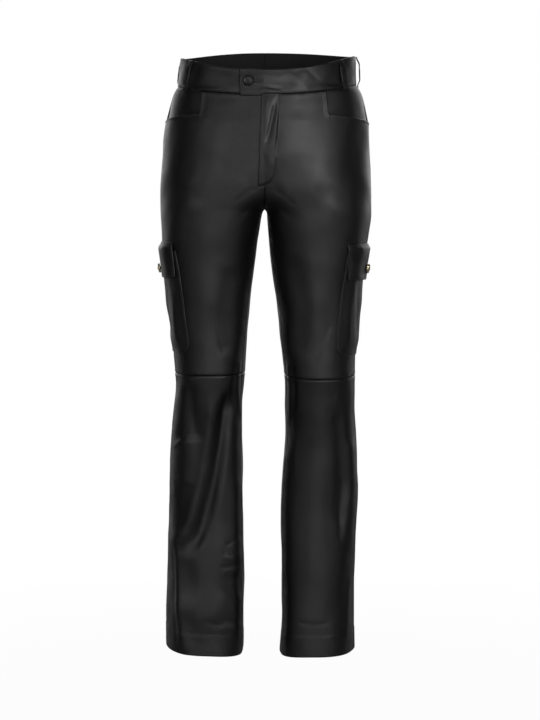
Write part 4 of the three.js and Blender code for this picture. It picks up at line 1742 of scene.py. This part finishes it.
@dataclass
class Waistband:
    """The two halves of the waistband, with the tab that laps over the front."""

    wardrobe: Wardrobe
    side_height: float = 53.0
    front_height: float = 44.0
    back_height: float = 49.0
    tab_length: float = 44.5
    tab_drop: float = 4.0
    stitch_in: float = 2.9
    creases: tuple = (
        (-8, -63, 28, -68, 0.9, 2.6), (4, -58, 26, -62, -0.6, 2.4),
        (-20, -34, -8, -56, -0.5, 3.2), (40, -30, 70, -52, 0.55, 5.0),
        (74, -24, 98, -46, -0.6, 5.0), (-90, -30, -60, -50, 0.5, 5.0),
    )

    @property
    def tab_lift(self) -> float:
        """Height of the tab's outer face over the cloth."""
        return BAND_PROUD + SEAM_GAP + BAND_THICKNESS

    def rows(self, side: Side, position: Array) -> tuple[Array, Array]:
        """Heights of the band's top and bottom.

        Args:
            side: the leg.
            position: place from -1, centre back, to 1, centre front.

        Returns:
            Top and bottom.
        """
        bottom = FORM.waist_seam(side, position) + 0.1
        away = np.sin(np.abs(position) * math.pi / 2) ** 2
        end = np.where(position > 0, self.front_height, self.back_height)
        return bottom + mix(self.side_height, end, away), bottom

    def profile(self, grid: Grid, seed: int) -> Array:
        """Height of the doubled band over its base: rolled edges and a full middle.

        Args:
            grid: the grid.
            seed: seed of the gathers.

        Returns:
            The height.
        """
        top, bottom = grid.from_top, grid.from_bottom
        edge = np.minimum(top, bottom)
        height = -1.1 * rolled(edge, 1.6)
        height -= 0.3 * bell(bottom - self.stitch_in, 0.8)
        height += 0.45 * ease(3, 16, edge)
        height += pucker(grid.from_left, np.abs(bottom - self.stitch_in), seed, 0.2)
        slack = Ripple(seed + 3, 34.0)
        return height + 0.28 * slack(grid.points) * ease(2, 12, edge)

    def half(self, side: Side) -> tuple[Grid, Array]:
        """Grid and places along the band of the part of a half that lies on the hips.

        Args:
            side: the leg.

        Returns:
            The grid, and each point's place along the band.
        """
        front = graded(190, 3.0, near_start=False)
        back = graded(225, 3.2, near_start=False)
        position = np.concatenate([-(back[::-1]), front[1:]])[None, :]
        down = graded(50, 2.6)[:, None]
        top, bottom = self.rows(side, position)
        z = mix(top, bottom, down)
        out = FORM.outseam_angle(side, z)
        centre = FORM.centre_angle(side, z)
        behind = mix(out, 2 * math.pi - centre, -position)
        angle = np.where(position > 0, mix(out, centre, position), behind)
        return on_skin(side, angle, z), position + 0 * z

    def right(self) -> None:
        """Half at the wearer's right, under the tab in front."""
        grid, _ = self.half(Side.RIGHT)
        height = BAND_PROUD + self.profile(grid, 71)
        height -= 0.8 * rolled(grid.from_left, 1.8)
        height -= 0.8 * rolled(grid.from_right, 1.8)
        inner = grid.raised(np.full_like(height, BAND_PROUD - BAND_THICKNESS))
        piece = self.wardrobe.cut("waistband_right", grid.raised(height), inner)
        row = StitchRow(72)
        row.follow(grid, grid.from_bottom, self.stitch_in, height, False)
        row.finish("waistband_stitches_right", self.wardrobe)

    def left(self) -> None:
        """Half at the wearer's left, which ends in the tab."""
        grid, position = self.half(Side.LEFT)
        top, bottom = (float(value) for value in self.rows(Side.LEFT, np.array(1.0)))
        x = -graded(self.tab_length, 2.4, near_start=False)[1:]
        x = (x * self.tab_length)[None, :]
        down = graded(50, 2.6)[:, None]
        z = mix(top - 0.05 * x, bottom - self.tab_drop * ease(0, 8, -x), down)
        tab = hip_grid(x, z)
        lift = mix(BAND_PROUD, self.tab_lift, ease(0.86, 1, position))
        whole = Grid(
            np.concatenate([grid.points, tab.points], axis=1),
            np.concatenate([grid.normals, tab.normals], axis=1),
        )
        base = np.concatenate([lift, np.full(tab.points.shape[:2], self.tab_lift)], axis=1)
        height = base + self.profile(whole, 81)
        height -= 0.8 * rolled(whole.from_left, 1.8)
        end, low = whole.from_right, whole.from_bottom
        height -= 1.1 * rolled(end, 1.6) + 0.3 * bell(end - self.stitch_in, 0.8)
        x, y, z = np.moveaxis(whole.points, -1, 0)
        on_tab = ease(-2.0, 3.0, -x) * (y < 0)
        height += on_tab * (0.7 * bell(low - 8.5, 2.2) - 0.5 * bell(low - 5.6, 0.9))
        height += creased(x, z, self.creases, 0.3) * (y < 0)
        inner = whole.raised(base - BAND_THICKNESS)
        piece = self.wardrobe.cut("waistband_left", whole.raised(height), inner)
        row = StitchRow(82)
        row.follow(whole, low, self.stitch_in, height, False)
        row.follow(whole, end + FAR * (low < self.stitch_in + 1), self.stitch_in, height, True)
        row.finish("waistband_stitches_left", self.wardrobe)

    def build(self) -> None:
        """Make both halves."""
        self.right()
        self.left()


@dataclass
class Fly:
    """Fly placket whose curved side is stitched flat to the front."""

    wardrobe: Wardrobe
    top_z: float = -70.6
    straight_z: float = -208.0
    bottom_z: float = -241.5
    left_x: tuple = (-5.0, -11.5)
    right_x: tuple = (31.0, 23.5)
    turn_from: float = 0.7
    stitch_in: float = 2.2
    creases: tuple = (
        (14, -76, 4, -180, 1.0, 13.0), (22, -80, 4, -164, -3.1, 4.2),
        (29, -90, 13, -186, 1.3, 4.4), (5, -76, -1, -124, 0.9, 4.4),
        (13, -196, 24, -156, -0.7, 4.0), (4, -170, 14, -206, 0.8, 6.0),
    )

    def left_at(self, z: Array) -> Array:
        """Signed x of the open side at a height."""
        return mix(*self.left_x, (self.top_z - z) / (self.top_z - self.bottom_z))

    def outline(self, u: Array, v: Array) -> tuple[Array, Array]:
        """Place on the placket: signed x and z.

        Args:
            u: share of the way across, from the open side.
            v: share of the way down.

        Returns:
            Signed x and z.
        """
        down = np.minimum(v / self.turn_from, 1)
        start = self.top_z - 4.3 * ease(0, 8, -mix(self.left_x[0], self.right_x[0], u))
        past = (v - self.turn_from) / (1 - self.turn_from)
        turn = np.where(v < self.turn_from, 0, np.sin(past * 88 * DEGREE))
        z = mix(start, self.straight_z, down) + (self.bottom_z - self.straight_z) * turn
        share = np.clip((self.top_z - z) / (self.top_z - self.straight_z), 0, 1)
        left = self.left_at(z)
        right = mix(left, mix(*self.right_x, share), np.sqrt(1 - turn * turn))
        return mix(left, right, u), z

    def build(self) -> None:
        """Make the placket and its line of stitches."""
        down = graded(150, 2.2)
        curve = self.turn_from + 0.3 * np.linspace(0, 1, 40)
        v = np.concatenate([down[down < self.turn_from], curve])[:, None]
        x, z = self.outline(graded(36, 1.6)[None, :], v)
        grid = hip_grid(x, z)
        side = np.concatenate([grid.points[:, -1], grid.points[-1, ::-1]])
        curved = edge_distance(grid.points.reshape(-1, 3), side, 5).reshape(z.shape)
        flat = 1 - ease(0.5, 9.0, curved)
        height = mix(2.6, 0.62, flat) - 0.5 * rolled(grid.from_left, 1.6)
        height -= 0.25 * bell(curved - self.stitch_in, 0.8)
        height += pucker(grid.from_top, np.abs(curved - self.stitch_in), 91, 0.2)
        height += creased(x, z, self.creases, 0.1) * (1 - flat)
        height = np.maximum(height, 0.5)
        inner = np.minimum(height - 0.45, mix(ON_TOP_GAP, 0.1, flat))
        piece = self.wardrobe.cut("fly_placket", grid.raised(height), grid.raised(inner))
        row = StitchRow(92, pitch=3.0, length=2.3, radius=0.3)
        row.follow(grid, curved, self.stitch_in, height, True)
        row.finish("fly_stitches", self.wardrobe)


@dataclass
class PatchPocket:
    """Patch pocket on the outseam with its buttoned flap."""

    side: Side
    wardrobe: Wardrobe
    front: float = 73.0
    back: float = 70.0
    bottom_z: float = -546.0
    flap_front: tuple = (69.0, 64.0)
    flap_back: float = 68.0
    flap_z: tuple = (-341.0, -406.0)
    button_z: float = -388.5
    top_z: float = -357.0
    gap: float = 0.6
    rise: float = 3.3
    corner: float = 17.0
    stitch_in: float = 3.0
    flap_stitch_in: float = 3.2
    stitch_end: float = 3.4
    creases: tuple = (
        (30, -410, 14, -520, -1.5, 8.0), (-30, -420, -12, -515, -1.5, 9.0),
        (50, -440, 44, -530, 1.2, 7.0), (-52, -430, -48, -520, 1.2, 7.0),
        (0, -400, 4, -470, 1.0, 9.0),
    )

    def bag_height(self, distance: Array, z: Array) -> Array:
        """Height of the bag's outer face over the leg.

        Args:
            distance: length of cloth from the outseam.
            z: height.

        Returns:
            The height.
        """
        edge = np.minimum(self.front - distance, distance + self.back)
        edge = np.minimum(edge, z - self.bottom_z)
        return self.gap + LEATHER + self.rise * ease(0, 34, edge)

    def surface(self, distance: Array, z: Array) -> Grid:
        """Grid at lengths of cloth from the outseam."""
        distance, z = np.broadcast_arrays(distance, z)
        return on_skin(self.side, FORM.side_angle(self.side, distance, z), z)

    def bag(self) -> None:
        """Make the pocket with its rounded lower corners."""
        length = self.top_z - self.bottom_z
        v = graded(length, 3.0)
        level = mix(self.top_z, self.bottom_z, v)
        low = np.clip((self.bottom_z + self.corner - level) / self.corner, 0, 1)
        extra = 1 - self.corner / length
        rounded = extra + (1 - extra) * np.sin(np.linspace(0, 1, 14) * math.pi / 2)
        v = np.concatenate([v[low <= 0], rounded[1:]])
        z = mix(self.top_z, self.bottom_z, v)[:, None]
        low = np.clip((self.bottom_z + self.corner - z) / self.corner, 0, 1)
        inset = self.corner * (1 - np.sqrt(1 - (0.985 * low) ** 2))
        u = graded(143, 3.0)[None, :]
        distance = mix(-self.back + inset, self.front - inset, u)
        grid = self.surface(distance, z)
        side_edge = np.minimum(grid.from_left, grid.from_right)
        edge = np.minimum(side_edge, grid.from_bottom)
        height = self.bag_height(distance, z) - 0.9 * rolled(edge, 1.3)
        height += 0.35 * (1 - ease(3.5, 6.5, edge))
        height -= 0.5 * bell(edge - self.stitch_in, 0.8)
        beside = np.abs(side_edge - self.stitch_in)
        height += pucker(grid.from_top, beside, 101 + self.side.value, 0.2)
        slack = Ripple(103 + self.side.value, 70.0)
        height += 1.1 * slack(grid.points) * ease(6, 34, edge)
        height += creased(distance, z, self.creases, 0.15)
        height = np.maximum(height, self.gap + 0.9)
        inner = np.maximum(height - LEATHER, 0.35)
        name = f"cargo_bag_{self.side.word}"
        piece = self.wardrobe.cut(name, grid.raised(height), grid.raised(inner))
        row = StitchRow(105)
        row.follow(grid, edge, self.stitch_in, height, True, edge.shape[1] // 2)
        across = np.where(side_edge > self.stitch_end, grid.from_bottom, FAR)
        row.follow(grid, across, self.stitch_in, height, False)
        row.finish(f"cargo_bag_stitches_{self.side.word}", self.wardrobe)

    def flap_height(self, distance: Array, z: Array) -> Array:
        """Height of the flap's inner face over the leg.

        Args:
            distance: length of cloth from the outseam.
            z: height.

        Returns:
            The height.
        """
        top, bottom = self.flap_z
        held = np.clip(distance, -self.back, self.front)
        over = self.bag_height(held, np.minimum(z, self.top_z)) + SEAM_GAP + 0.3
        stand = 2.2 * ((top - z) / (top - bottom)) ** 2
        return mix(ON_TOP_GAP, over, ease(top - 1, self.top_z + 5, z)) + stand

    def flap(self) -> None:
        """Make the flap, stitched along its top and round its edge."""
        top, bottom = self.flap_z
        u = graded(134, 2.6)[None, :]
        v = graded(66, 2.4)[:, None]
        z = mix(top, bottom, v) + 0 * u
        distance = mix(-self.flap_back, mix(*self.flap_front, v), u)
        grid = self.surface(distance, z)
        base = self.flap_height(distance, z)
        side_edge = np.minimum(grid.from_left, grid.from_right)
        edge = np.minimum(np.minimum(side_edge, grid.from_bottom), grid.from_top)
        height = base + FLAP_THICKNESS - rolled(edge, 1.5)
        height -= 0.45 * bell(edge - self.flap_stitch_in, 0.8)
        height -= 0.25 * bell(grid.from_top - 9.0, 0.8)
        height += 0.3 * ease(5, 14, edge)
        beside = np.abs(grid.from_top - self.flap_stitch_in)
        height += pucker(grid.from_left, beside, 111, 0.14)
        slack = Ripple(113 + self.side.value, 42.0)
        height += 0.45 * slack(grid.points) * ease(4, 14, edge)
        height -= 0.8 * bell(np.hypot(distance, z - self.button_z), 9.0)
        name = f"cargo_flap_{self.side.word}"
        piece = self.wardrobe.cut(name, grid.raised(height), grid.raised(base))
        row = StitchRow(115)
        for level in (grid.from_top, grid.from_bottom):
            along = np.where(side_edge > self.stitch_end, level, FAR)
            row.follow(grid, along, self.flap_stitch_in, height, False)
        within = np.minimum(grid.from_top, grid.from_bottom) > self.stitch_end
        ends = np.where(within, side_edge, FAR)
        row.follow(grid, ends, self.flap_stitch_in, height, True, edge.shape[1] // 2)
        row.finish(f"cargo_flap_stitches_{self.side.word}", self.wardrobe)

    def button(self) -> None:
        """Make the cast button with its roped rim and worked middle."""
        z = np.array(self.button_z)
        under = on_skin(self.side, FORM.outseam_angle(self.side, z), z)
        lift = float(self.flap_height(np.array(0.0), z)) + FLAP_THICKNESS - 0.2
        seat, facing = under.raised(lift), under.normals
        turns, rings = 120, 46
        share = np.linspace(0, 1, rings)[None, :]
        theta = np.linspace(0, 2 * math.pi, turns, endpoint=False)[:, None]
        radius = 8.8 * np.sin(share * math.pi / 2) ** 0.85 + 0 * theta
        lobes = 0.5 + 0.5 * np.cos(12 * theta + radius * 0.9)
        petals = 0.5 + 0.5 * np.cos(8 * theta)
        rim = bell(radius - 7.6, 0.95) * (1.5 + 0.75 * lobes)
        ring = bell(radius - 5.3, 0.5) * 0.9
        dome = 3.2 * np.clip(1 - (radius / 4.6) ** 2, 0, 1) ** 0.5
        dome = dome * (0.78 + 0.22 * petals * ease(0.4, 2.4, radius))
        knob = 0.9 * bell(radius, 1.0)
        lip = 2.2 * np.clip(1 - (radius / 8.9) ** 10, 0, 1)
        up = 1.2 + lip + rim * ease(0, 1, (8.9 - radius) / 0.8) + ring + dome + knob
        radius = radius + 0.35 * lobes * bell(radius - 8.6, 1.2)
        cap = np.stack([radius * np.cos(theta), radius * np.sin(theta), up], -1)
        shank = turned_rings([(8.4, 2.4), (7.2, 1.8), (3.2, 1.4), (3.2, 0.2), (0.4, 0.2)], theta)
        vertices, faces = closed_rings(np.concatenate([cap, shank], axis=1))
        name = f"flap_button_cast_{self.side.word}"
        piece = make_object(name, seated(vertices, seat, facing), faces)
        piece.data.materials.append(self.wardrobe.metal)
        self.wardrobe.attach(piece, "button_metal", f"flap_button_{self.side.word}")

    def build(self) -> None:
        """Make the pocket, its flap and its button."""
        self.bag()
        self.flap()
        self.button()


def turned_rings(profile: Sequence[tuple[float, float]], theta: Array) -> Array:
    """Rings of a turned profile of radius and height."""
    radius, height = np.array(profile).T
    return np.stack([radius * np.cos(theta), radius * np.sin(theta), height + 0 * theta], -1)


def closed_rings(body: Array) -> tuple[Array, list]:
    """Faces of a body of rings about an axis, capped at both ends.

    Args:
        body: points, turns by rings.

    Returns:
        Vertices and faces.
    """
    turns, rings = body.shape[:2]
    number = np.arange(turns * rings).reshape(turns, rings)
    after = np.roll(number, -1, axis=0)
    quads = np.stack([number[:, :-1], number[:, 1:], after[:, 1:], after[:, :-1]], -1)
    faces = quads.reshape(-1, 4).tolist()
    faces.append(number[::-1, 0].tolist())
    faces.append(number[:, -1].tolist())
    vertices = body.reshape(-1, 3)
    first, second, third = (vertices[quads.reshape(-1, 4)[:, n]] for n in range(3))
    if (first * np.cross(second, third)).sum() < 0:
        faces = [face[::-1] for face in faces]
    return vertices, faces


def seated(vertices: Array, seat: Array, outward: Array) -> Array:
    """Points built along +Z moved onto a seat, facing out.

    Args:
        vertices: points of the piece.
        seat: where its origin goes.
        outward: direction that its axis takes.

    Returns:
        The moved points.
    """
    z = unit(outward)
    x = unit(np.cross(np.array([0.0, 0.0, 1.0]), z))
    y = np.cross(z, x)
    return seat + vertices @ np.stack([x, y, z])


@dataclass
class BeltLoops:
    """Five belt loops, sewn down at both ends and standing off the band."""

    wardrobe: Wardrobe
    band: Waistband
    stand: float = 5.3
    reach: float = 5.0
    stitch_in: float = 2.2
    tack_in: float = 3.0
    places: tuple = (
        ("belt_loop_front_right", Side.RIGHT, 0.34, 68.0),
        ("belt_loop_front_left", Side.LEFT, 0.37, 74.0),
        ("belt_loop_side_right", Side.RIGHT, -0.17, -37.0),
        ("belt_loop_side_left", Side.LEFT, 0.0, -3.0),
        ("belt_loop_back", Side.LEFT, -1.0, 0.0),
    )

    def loop(self, number: int, name: str, side: Side, position: float, distance: float) -> None:
        """Make one loop.

        Args:
            number: number of the loop, which seeds its unevenness.
            name: name of the solid it stands for.
            side: side of its place.
            position: place along the band.
            distance: length of cloth from the outseam.
        """
        top, bottom = (float(value) for value in self.band.rows(side, np.array(position)))
        v = graded(58, 1.6)[:, None]
        u = graded(LOOP_WIDTH, 1.6)[None, :]
        z = mix(top - 1, bottom - self.reach, v) + 0 * u
        across = (u - 0.5) * LOOP_WIDTH + 0 * v
        if position == -1.0:
            grid = hip_grid(across, z, front=False)
        else:
            grid = on_skin(side, FORM.side_angle(side, distance + across, z), z)
        rest = mix(BAND_PROUD, 0.0, ease(0.5, 3.5, bottom - z)) + 0.5
        arch = ease(0, 0.28, v) * ease(0, 0.28, 1 - v)
        base = rest + SEAM_GAP + self.stand * arch
        edge = np.minimum(grid.from_left, grid.from_right)
        height = base + LOOP_THICKNESS + 0.3 * bell(edge - 4.8, 2.2)
        height -= 0.9 * rolled(edge, 1.1) + 0.28 * bell(edge - self.stitch_in, 0.6)
        ends = np.minimum(grid.from_top, grid.from_bottom)
        height -= 0.9 * rolled(ends, 1.1)
        height += 0.25 * Ripple(121 + number, 16.0)(grid.points)
        piece = self.wardrobe.cut(name, grid.raised(height), grid.raised(base))
        row = StitchRow(131 + number, pitch=3.0, length=2.2, radius=0.28)
        row.follow(grid, edge, self.stitch_in, height, True, edge.shape[1] // 2)
        tacks = np.where(edge > 2.6, ends, FAR)
        row.follow(grid, tacks, self.tack_in, height, False, edge.shape[0] // 2)
        row.finish(name + "_stitches", self.wardrobe)

    def build(self) -> None:
        """Make every loop."""
        for number, place in enumerate(self.places):
            self.loop(number, *place)


@dataclass
class WaistClosure:
    """Bound buttonhole and four-hole button of the tab."""

    wardrobe: Wardrobe
    band: Waistband
    hole_x: tuple = (-27.0, -1.5)
    hole_z: float = -46.8
    hole_height: float = 9.0
    slot: float = 1.6
    stitch_line: float = 3.2
    button_x: float = -28.6
    button_z: float = -47.6
    radius: float = 10.0

    def welt(self) -> None:
        """Make the two lips of the buttonhole, which meet at its ends."""
        base = self.band.tab_lift + SEAM_GAP
        half = self.hole_height / 2
        profile = np.linspace(0, 1, 12)
        start, end = self.hole_x[0] + half, self.hole_x[1] - half
        straight, bend = end - start, math.pi * half
        # Round the slot: along its top, round one end, back below it, round the other end
        plan = []
        for share in np.linspace(0, 1, 90)[:-1]:
            run = share * 2 * (straight + bend)
            if run < straight:
                middle, turn = start + run, 0.0
            elif run < straight + bend:
                middle, turn = end, (run - straight) / half
            elif run < 2 * straight + bend:
                middle, turn = end - (run - straight - bend), math.pi
            else:
                middle, turn = start, (run - 2 * straight) / half
            out = mix(half, self.slot / 2, profile)
            plan.append(np.stack([middle + math.sin(turn) * out, math.cos(turn) * out], -1))
        ring = np.array(plan)
        grid = hip_grid(ring[..., 0], self.hole_z + ring[..., 1])
        height = base + 0.25 + 0.95 * np.sin(profile * math.pi)[None, :] ** 0.6
        inner = grid.raised(np.full_like(height, base))
        piece = ring_shell("buttonhole_welt_leather", grid.raised(height), inner)
        self.wardrobe.cloth(piece, "buttonhole_welt")
        row = StitchRow(131, pitch=1.7, length=1.55, radius=0.42)
        for offset in (-self.stitch_line, self.stitch_line):
            x = np.linspace(self.hole_x[0] + 7.0, self.hole_x[1] - 1.0, 30)[None, :]
            lip = hip_grid(x, np.full_like(x, self.hole_z + offset))
            row.sew(lip.raised(np.full_like(x, base + 1.0))[0], lip.normals[0], 0.22)
        row.finish("buttonhole_stitches", self.wardrobe)

    def button(self) -> None:
        """Make the button with its raised rim, holes and crossed thread."""
        seat_grid = hip_grid(np.array([[self.button_x]]), np.array([[self.button_z]]))
        lift = self.band.tab_lift + 2 * SEAM_GAP + 0.8
        seat = seat_grid.raised(np.array([[lift]]))[0, 0]
        facing = seat_grid.normals[0, 0]
        turns = 112
        theta = np.linspace(0, 2 * math.pi, turns, endpoint=False)[:, None]
        share = np.linspace(0.02, 1, 52)[None, :]
        radius = self.radius * np.sin(share * math.pi / 2) ** 0.9 + 0 * theta
        rim = 1.15 * bell(radius - 8.3, 1.15)
        dish = -0.35 * bell(radius, 4.2)
        edge = 2.0 * np.clip(1 - (radius / 10.02) ** 14, 0, 1) ** 0.6
        up = 0.5 + edge + rim + dish
        plan_x, plan_y = radius * np.cos(theta), radius * np.sin(theta)
        for x, y in ((2, 2), (-2, 2), (2, -2), (-2, -2)):
            hole = np.hypot(plan_x - x, plan_y - y)
            up = up - 1.5 * (1 - ease(0.75, 1.25, hole))
        cap = np.stack([plan_x, plan_y, up], -1)
        under = turned_rings([(9.7, 0.7), (8.2, 0.1), (0.4, 0.0)], theta)
        vertices, faces = closed_rings(np.concatenate([cap, under], axis=1))
        piece = make_object("waist_button_disc", seated(vertices, seat, facing), faces)
        piece.data.materials.append(self.wardrobe.button)
        self.wardrobe.attach(piece, "button_black", "waist_button")
        thread = StitchRow(141, pitch=4.4, length=4.3, radius=0.42)
        top, hole = 2.15, 2.2
        for slope in (1, -1):
            for shift in (-0.35, 0.35):
                ends = np.array([
                    [-hole + shift, -slope * (hole + shift), top],
                    [hole + shift, slope * (hole - shift), top],
                ])
                line = seated(ends, seat, facing)
                middle = (line[0] + line[1]) / 2
                out = 3.1 * unit(line[1] - line[0])
                thread.sew(np.array([middle - out, middle + out]), np.array([facing, facing]), 0.25)
        thread.finish("waist_button_thread", self.wardrobe)

    def build(self) -> None:
        """Make the buttonhole and the button."""
        self.welt()
        self.button()


def ring_shell(name: str, outer: Array, inner: Array) -> bpy.types.Object:
    """Closed shell of a ring whose last row joins its first.

    Args:
        name: name of the piece.
        outer: outer points, turns by columns.
        inner: inner points.

    Returns:
        The shell.
    """
    turns, columns = outer.shape[:2]
    loop = np.concatenate([outer, inner[:, ::-1]], axis=1)
    number = np.arange(turns * 2 * columns).reshape(turns, 2 * columns)
    along = np.roll(number, -1, axis=0)
    across = np.roll(number, -1, axis=1)
    both = np.roll(along, -1, axis=1)
    faces = np.stack([number, along, both, across], -1).reshape(-1, 4)
    vertices = loop.reshape(-1, 3)
    corners = vertices[faces]
    area = np.cross(corners[:, 1] - corners[:, 0], corners[:, 2] - corners[:, 0])
    if ((corners.mean(axis=1) - vertices.mean(axis=0)) * area).sum() < 0:
        faces = faces[:, ::-1]
    return make_object(name, vertices, faces)


@dataclass(frozen=True)
class Studio:
    """Pale floor, soft lights and the camera."""

    floor_z: float = -1.213
    lens: float = 120.0
    camera_at: tuple = (0.01015, -4.5, -0.2444)
    aim_z: float = -0.564

    def camera(self) -> None:
        """Set the camera at the photograph's viewing angle."""
        data = bpy.data.cameras.new("view")
        data.lens = self.lens
        data.sensor_width = 36.0
        data.clip_end = 60.0
        view = bpy.data.objects.new("view", data)
        bpy.context.scene.collection.objects.link(view)
        view.location = self.camera_at
        aim = Vector((self.camera_at[0], 0.0, self.aim_z)) - view.location
        view.rotation_euler = aim.to_track_quat("-Z", "Y").to_euler()
        bpy.context.scene.camera = view

    def light(self, name: str, at: tuple, aim: tuple, size: tuple, power: float) -> None:
        """Add a soft box.

        Args:
            name: name of the light.
            at: its place.
            aim: the point it faces.
            size: width and height.
            power: power in watts.
        """
        data = bpy.data.lights.new(name, "AREA")
        data.shape = "RECTANGLE"
        data.size, data.size_y = size
        data.energy = power
        lamp = bpy.data.objects.new(name, data)
        bpy.context.scene.collection.objects.link(lamp)
        lamp.location = at
        lamp.rotation_euler = (Vector(aim) - Vector(at)).to_track_quat("-Z", "Y").to_euler()

    def world(self) -> None:
        """Make the white surroundings: bright behind the object, dark towards the lights."""
        world = bpy.data.worlds.new("studio")
        tree = Tree(world)
        spot = tree.node("ShaderNodeTexCoord").out("Generated")
        ahead = tree.node("ShaderNodeSeparateXYZ", None, {0: spot}).out("Y")
        strength = tree.node(
            "ShaderNodeMapRange",
            {"interpolation_type": "SMOOTHSTEP"},
            {"Value": ahead, "From Min": 0.55, "From Max": 0.95, "To Min": 0.004, "To Max": 1.6},
        ).out()
        white = (1.0, 1.0, 1.0, 1.0)
        around, plain = (
            tree.node("ShaderNodeBackground", None, {"Color": white, "Strength": value}).out()
            for value in (strength, 1.0)
        )
        seen = tree.node("ShaderNodeLightPath").out("Is Camera Ray")
        blend = tree.node("ShaderNodeMixShader", None, {0: seen, 1: around, 2: plain})
        tree.node("ShaderNodeOutputWorld", None, {0: blend.out()})
        bpy.context.scene.world = world

    def floor(self) -> None:
        """Make the pale floor."""
        size = 60.0
        corners = [(x * size, y * size, self.floor_z) for x, y in ((-1, -1), (1, -1), (1, 1), (-1, 1))]
        plane = make_object("floor", np.array(corners) / MM, [[0, 1, 2, 3]])
        finish = Finish("pale_floor")
        dust = finish.noise(3.0, 3.0, 0.5)
        finish.set(Base_Color=finish.blend(dust, (0.30,) * 3, (0.33,) * 3), Roughness=0.8)
        place = {0: finish.place()}
        away = finish.node("ShaderNodeVectorMath", {"operation": "LENGTH"}, place).out("Value")
        seen = finish.node("ShaderNodeLightPath").out("Is Camera Ray")
        lit = seen * (0.95 + away.between(0.8, 2.0) * 0.05)
        glow = finish.node("ShaderNodeEmission", None, {"Strength": 1.0}).out()
        mixed = {0: lit, 1: finish.shader.out(), 2: glow}
        both = finish.node("ShaderNodeMixShader", None, mixed).out()
        finish.feed(finish.output.made.inputs[0], both)
        plane.data.materials.append(finish.material)

    def build(self) -> None:
        """Set everything up."""
        bpy.context.scene.view_settings.view_transform = "Standard"
        self.camera()
        self.world()
        self.floor()
        self.light("hip_box", (0.85, -1.85, 0.08), (0.03, 0.0, -0.16), (1.0, 0.6), 16.5)
        self.light("left_box", (-2.6, -2.6, 0.6), (-0.05, 0.0, -0.4), (1.2, 1.8), 10.5)
        self.light("left_near", (-0.85, -2.1, 0.0), (-0.05, 0.0, -0.2), (0.7, 0.7), 4.8)
        self.light("right_box", (2.6, -2.6, 0.6), (0.05, 0.0, -0.4), (1.2, 1.8), 3.2)
        self.light("low_box", (0.0, -4.4, -0.95), (0.0, 0.0, -0.95), (2.4, 0.4), 8.0)
        self.light("rim_right", (1.9, 1.9, -0.2), (0.05, 0.0, -0.6), (1.0, 2.0), 2.5)
        self.light("rim_left", (-1.9, 1.9, -0.2), (-0.05, 0.0, -0.6), (1.0, 2.0), 2.5)


def main() -> None:
    """Build the studio and every piece of the trousers in order."""
    logging.basicConfig(level=logging.INFO, format="%(name)s %(message)s")
    Studio().build()
    wardrobe = Wardrobe()
    for side in Side:
        LegPanels(side, wardrobe).build()
    band = Waistband(wardrobe)
    band.build()
    Fly(wardrobe).build()
    PatchPocket(Side.RIGHT, wardrobe).build()
    PatchPocket(
        Side.LEFT, wardrobe, front=71.0, back=71.0, bottom_z=-551.0, flap_front=(75.0, 64.0),
        flap_z=(-344.5, -411.0), button_z=-389.5,
    ).build()
    BeltLoops(wardrobe, band).build()
    WaistClosure(wardrobe, band).build()


if __name__ == "__main__":
    main()
